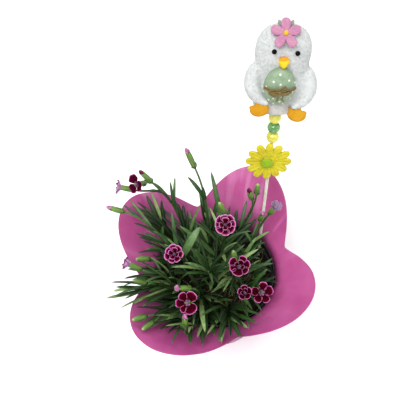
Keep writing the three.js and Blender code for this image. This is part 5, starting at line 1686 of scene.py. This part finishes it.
twine = {"Radius": 0.78, "Strand": 0.42, "Turns": 0.5}
twineLevel, twineStep = 198.5, 0.45
bowLoops = [  # the bow's loops and ends, through points given from its knot
    ((-3.6, -0.9, 2.8), (-9.2, -0.3, 1), (-5, -0.8, -1.4)),
    ((3.6, -0.9, 3.2), (9.2, -0.3, 1.4), (5, -0.8, -1.4)),
    ((0.2, -1.3, 3.8), (3.4, -0.6, 5.6), (5.2, -1.2, 2.8)),
    ((-1.6, -0.7, 2.9), (-5.6, -0.2, 2.4), (-5.2, -0.6, -2)),
    ((-3, -1, 0.9), (-8.4, 0, -0.8), (-4.6, -0.9, -2.9))]
bowEnds = [
    ((-1.6, -0.8, -3.4), (-1.1, -0.3, -6), (-2.4, 0.8, -8.6)),
    ((2.56, -0.8, -3.4), (1.76, -0.3, -6), (3.84, 0.8, -8.6)), ((3.6, -1.2, -1.6), (7.2, 0.6, -2.4))]


def twineLines():
    (cx, cy, cz), (rx, ry, rz) = bird["eggCentre"], bird["eggRadii"]
    share = math.sqrt(1 - ((twineLevel - cz) / rz) ** 2)
    wide, deep = rx * share + twine["Radius"] + pick["gap"], ry * share + twine["Radius"] + pick["gap"]
    band = around(1, (205 + np.arange(7) * 21.7) * degree, 0) * (wide, deep, 0) + (cx, cy, twineLevel)
    knot = (cx - 0.6, cy - deep - 0.4, twineLevel)

    def through(*points):
        return np.array(knot) + points

    middle = (0, 0, 0)
    return ([band, band + (0, -0.1, 1.3)] + [through(middle, *loop, middle) for loop in bowLoops]
            + [through(middle, *end) for end in bowEnds])


def twinePiece(material):  # two strands twisted round each line
    curve = bpy.data.curves.new("twine_lines", "CURVE")
    curve.dimensions = "3D"
    for line in twineLines():
        points = onPick(spline(line, 6)) * millimetre
        strand = curve.splines.new("POLY")
        strand.points.add(len(points) - 1)
        strand.points.foreach_set("co", np.column_stack([points, np.ones(len(points))]).ravel())
    lines = placed("twine_lines", curve)
    graph, wires, sockets = grownTree("twisted_twine", twine)
    evenly = graph.node("GeometryNodeResampleCurve",
                        {0: wires["Geometry"], "Length": twineStep * millimetre}, mode="LENGTH")
    run = graph.node("GeometryNodeSplineParameter", out="Length")
    tangent, normal = graph.node("GeometryNodeInputTangent"), graph.node("GeometryNodeInputNormal")
    aside = graph.vector("CROSS_PRODUCT", tangent, normal)
    join = graph.tree.nodes.new("GeometryNodeJoinGeometry")
    for k in range(2):
        angle = run * (wires["Turns"] * (2 * math.pi / millimetre)) + math.pi * k
        offset = wires["Radius"] * (0.45 * millimetre)
        first = graph.vector("SCALE", normal, graph.maths("COSINE", angle) * offset)
        second = graph.vector("SCALE", aside, graph.maths("SINE", angle) * offset)
        moved = graph.node("GeometryNodeSetPosition",
                           {0: evenly, "Offset": graph.vector("ADD", first, second)})
        section = graph.node("GeometryNodeCurvePrimitiveCircle",
                             {"Resolution": 6, "Radius": wires["Strand"] * millimetre})
        strand = graph.node("GeometryNodeCurveToMesh", {0: moved, 1: section, "Fill Caps": True})
        graph.tree.links.new(strand.socket, join.inputs[0])
    made = runTree(graph, sockets, twine, Wire(graph, join.outputs[0]), lines, "twine_tie", material)
    bpy.data.objects.remove(lines)
    ball = turned([(1.35 * math.sqrt(max(0.001, 1 - h * h)) * (1 + 0.1 * math.cos(9 * h)), 1.3 * h)
                   for h in np.linspace(-1, 1, 13)], 18)
    return made, tubeSkin(ball + twineLines()[2][0]).piece("twine_knot", material, turn=onPick)


def twineFinish():
    look = Finish("brown_twine")
    fibres = look.grain(2600, 3, 0.7)
    colour = look.mix(look.step(fibres, 0.3, 0.7), "3d2f17", "9a8453")
    return look.feed(colour, 0.9, fibres, 0.6, 0.0004, Specular_IOR_Level=0.15)


def onHead(rings):  # tilted, and moved to where the bird's flower sits
    return rotated(rings, -bird["flowerTilt"]) + bird["flower"]


def headFlowerSkin():
    skin, angles = Skin(), circle(30)
    radius, thick = bird["flowerRadius"], bird["flowerThickness"]
    long, wide = radius * 0.44, radius * 0.315
    petal = np.stack([wide * np.cos(angles) * (1 + 0.18 * np.sin(angles)),
                      long * np.sin(angles) + radius - long], 1)
    for i in range(5):
        rings = rotated(pillow(petal, (0, radius - long), feltLayers(thick), 0.3), 0, i * 72)
        reach = np.hypot(rings[..., 0], rings[..., 2]) / radius
        rings[..., 1] -= 0.5 * reach ** 2 * (1 if i % 2 else 0.4)
        skin.tube(onHead(rings), tint=draw(i, 1, 91))
    skin.tube(onHead(pillow(ovalOutline(radius * 0.75, radius * 0.75, 24), (0, 0), feltLayers(thick * 0.92))))
    return skin


def headCentreSkin():
    core = pillow(ovalOutline(3.7, 3.7, 24), (0, 0),
                  [(0, 0), (0.95, 0), (1, 0.4), (0.94, 0.9), (0.72, 1.35), (0.4, 1.58), (0, 1.62)])
    core[..., 1] -= bird["flowerThickness"] + pick["gap"]
    return tubeSkin(onHead(core))


silverLeaf = {"half": 1.9, "tall": 9, "thickness": 1.4, "turn": 24, "apart": 2.2, "foot": (-1, -2.4, 240)}


def silverLeavesSkin():
    angles, middle = circle(32), silverLeaf["tall"] / 2
    outline = np.stack([silverLeaf["half"] * np.cos(angles) * np.abs(np.cos(angles)) ** 0.2,
                        middle * np.sin(angles) + middle], 1)
    rings = pillow(outline, (0, middle), feltLayers(silverLeaf["thickness"]), 0.35)
    x, y, z = silverLeaf["foot"]
    return tubeSkin(*(rotated(rings, 0, side * silverLeaf["turn"]) + (side * silverLeaf["apart"] + x, y, z)
                      for side in (-1, 1)))


body = seat(fleeceBody(), "plush", "bird_body", "bird_wing_left", "bird_wing_right")
seat(scattered(body, "fleece_fibres", fleece, fleeceTilt, tuft, bareFace, body.data.materials[0]), "plush")
orangeFelt = feltFinish("orange_felt", "c69526", "b47b17")
eyeBead = plainFinish("eye_bead", "050506", "0d0c0f", 300, 0.1, Specular_IOR_Level=0.06)
sides = ((-1, "left"), (1, "right"))
for side, name in sides:
    seatOnPick(footSkin(side), f"felt_foot_{name}", orangeFelt, "orange_felt", f"bird_foot_{name}")
for side, name in sides:
    seatOnPick(eyeSkin(side), f"bead_eye_{name}", eyeBead, "eye", f"bird_eye_{name}")
seatOnPick(beakSkin(), "felt_beak", beakFinish(), "beak_felt", "bird_beak")
seatOnPick(eggSkin(), "painted_egg", eggFinish(), "egg", "egg")
seat(eggDotsPiece(plainFinish("white_dots", "e2e6da", "d3dac8", 900, 0.5)), "egg")
tie, knot = twinePiece(twineFinish())
seat(tie, "twine", "twine_bow")
seat(knot, "twine")
pinkFelt = feltFinish("pink_felt", "b8849c", "a4668a", glitterGlints=0.3)
seatOnPick(headFlowerSkin(), "felt_head_flower", pinkFelt, "pink_felt", "head_flower")
goldFelt = feltFinish("gold_felt", "e3b62c", "cf961c")
seatOnPick(headCentreSkin(), "felt_flower_centre", goldFelt, "flower_centre", "head_flower_centre")
silverFelt = feltFinish("silver_felt", "a9b0aa", "868d87")
seatOnPick(silverLeavesSkin(), "silver_leaves", silverFelt, "silver_leaf", "head_leaves")
print("the bird is made")
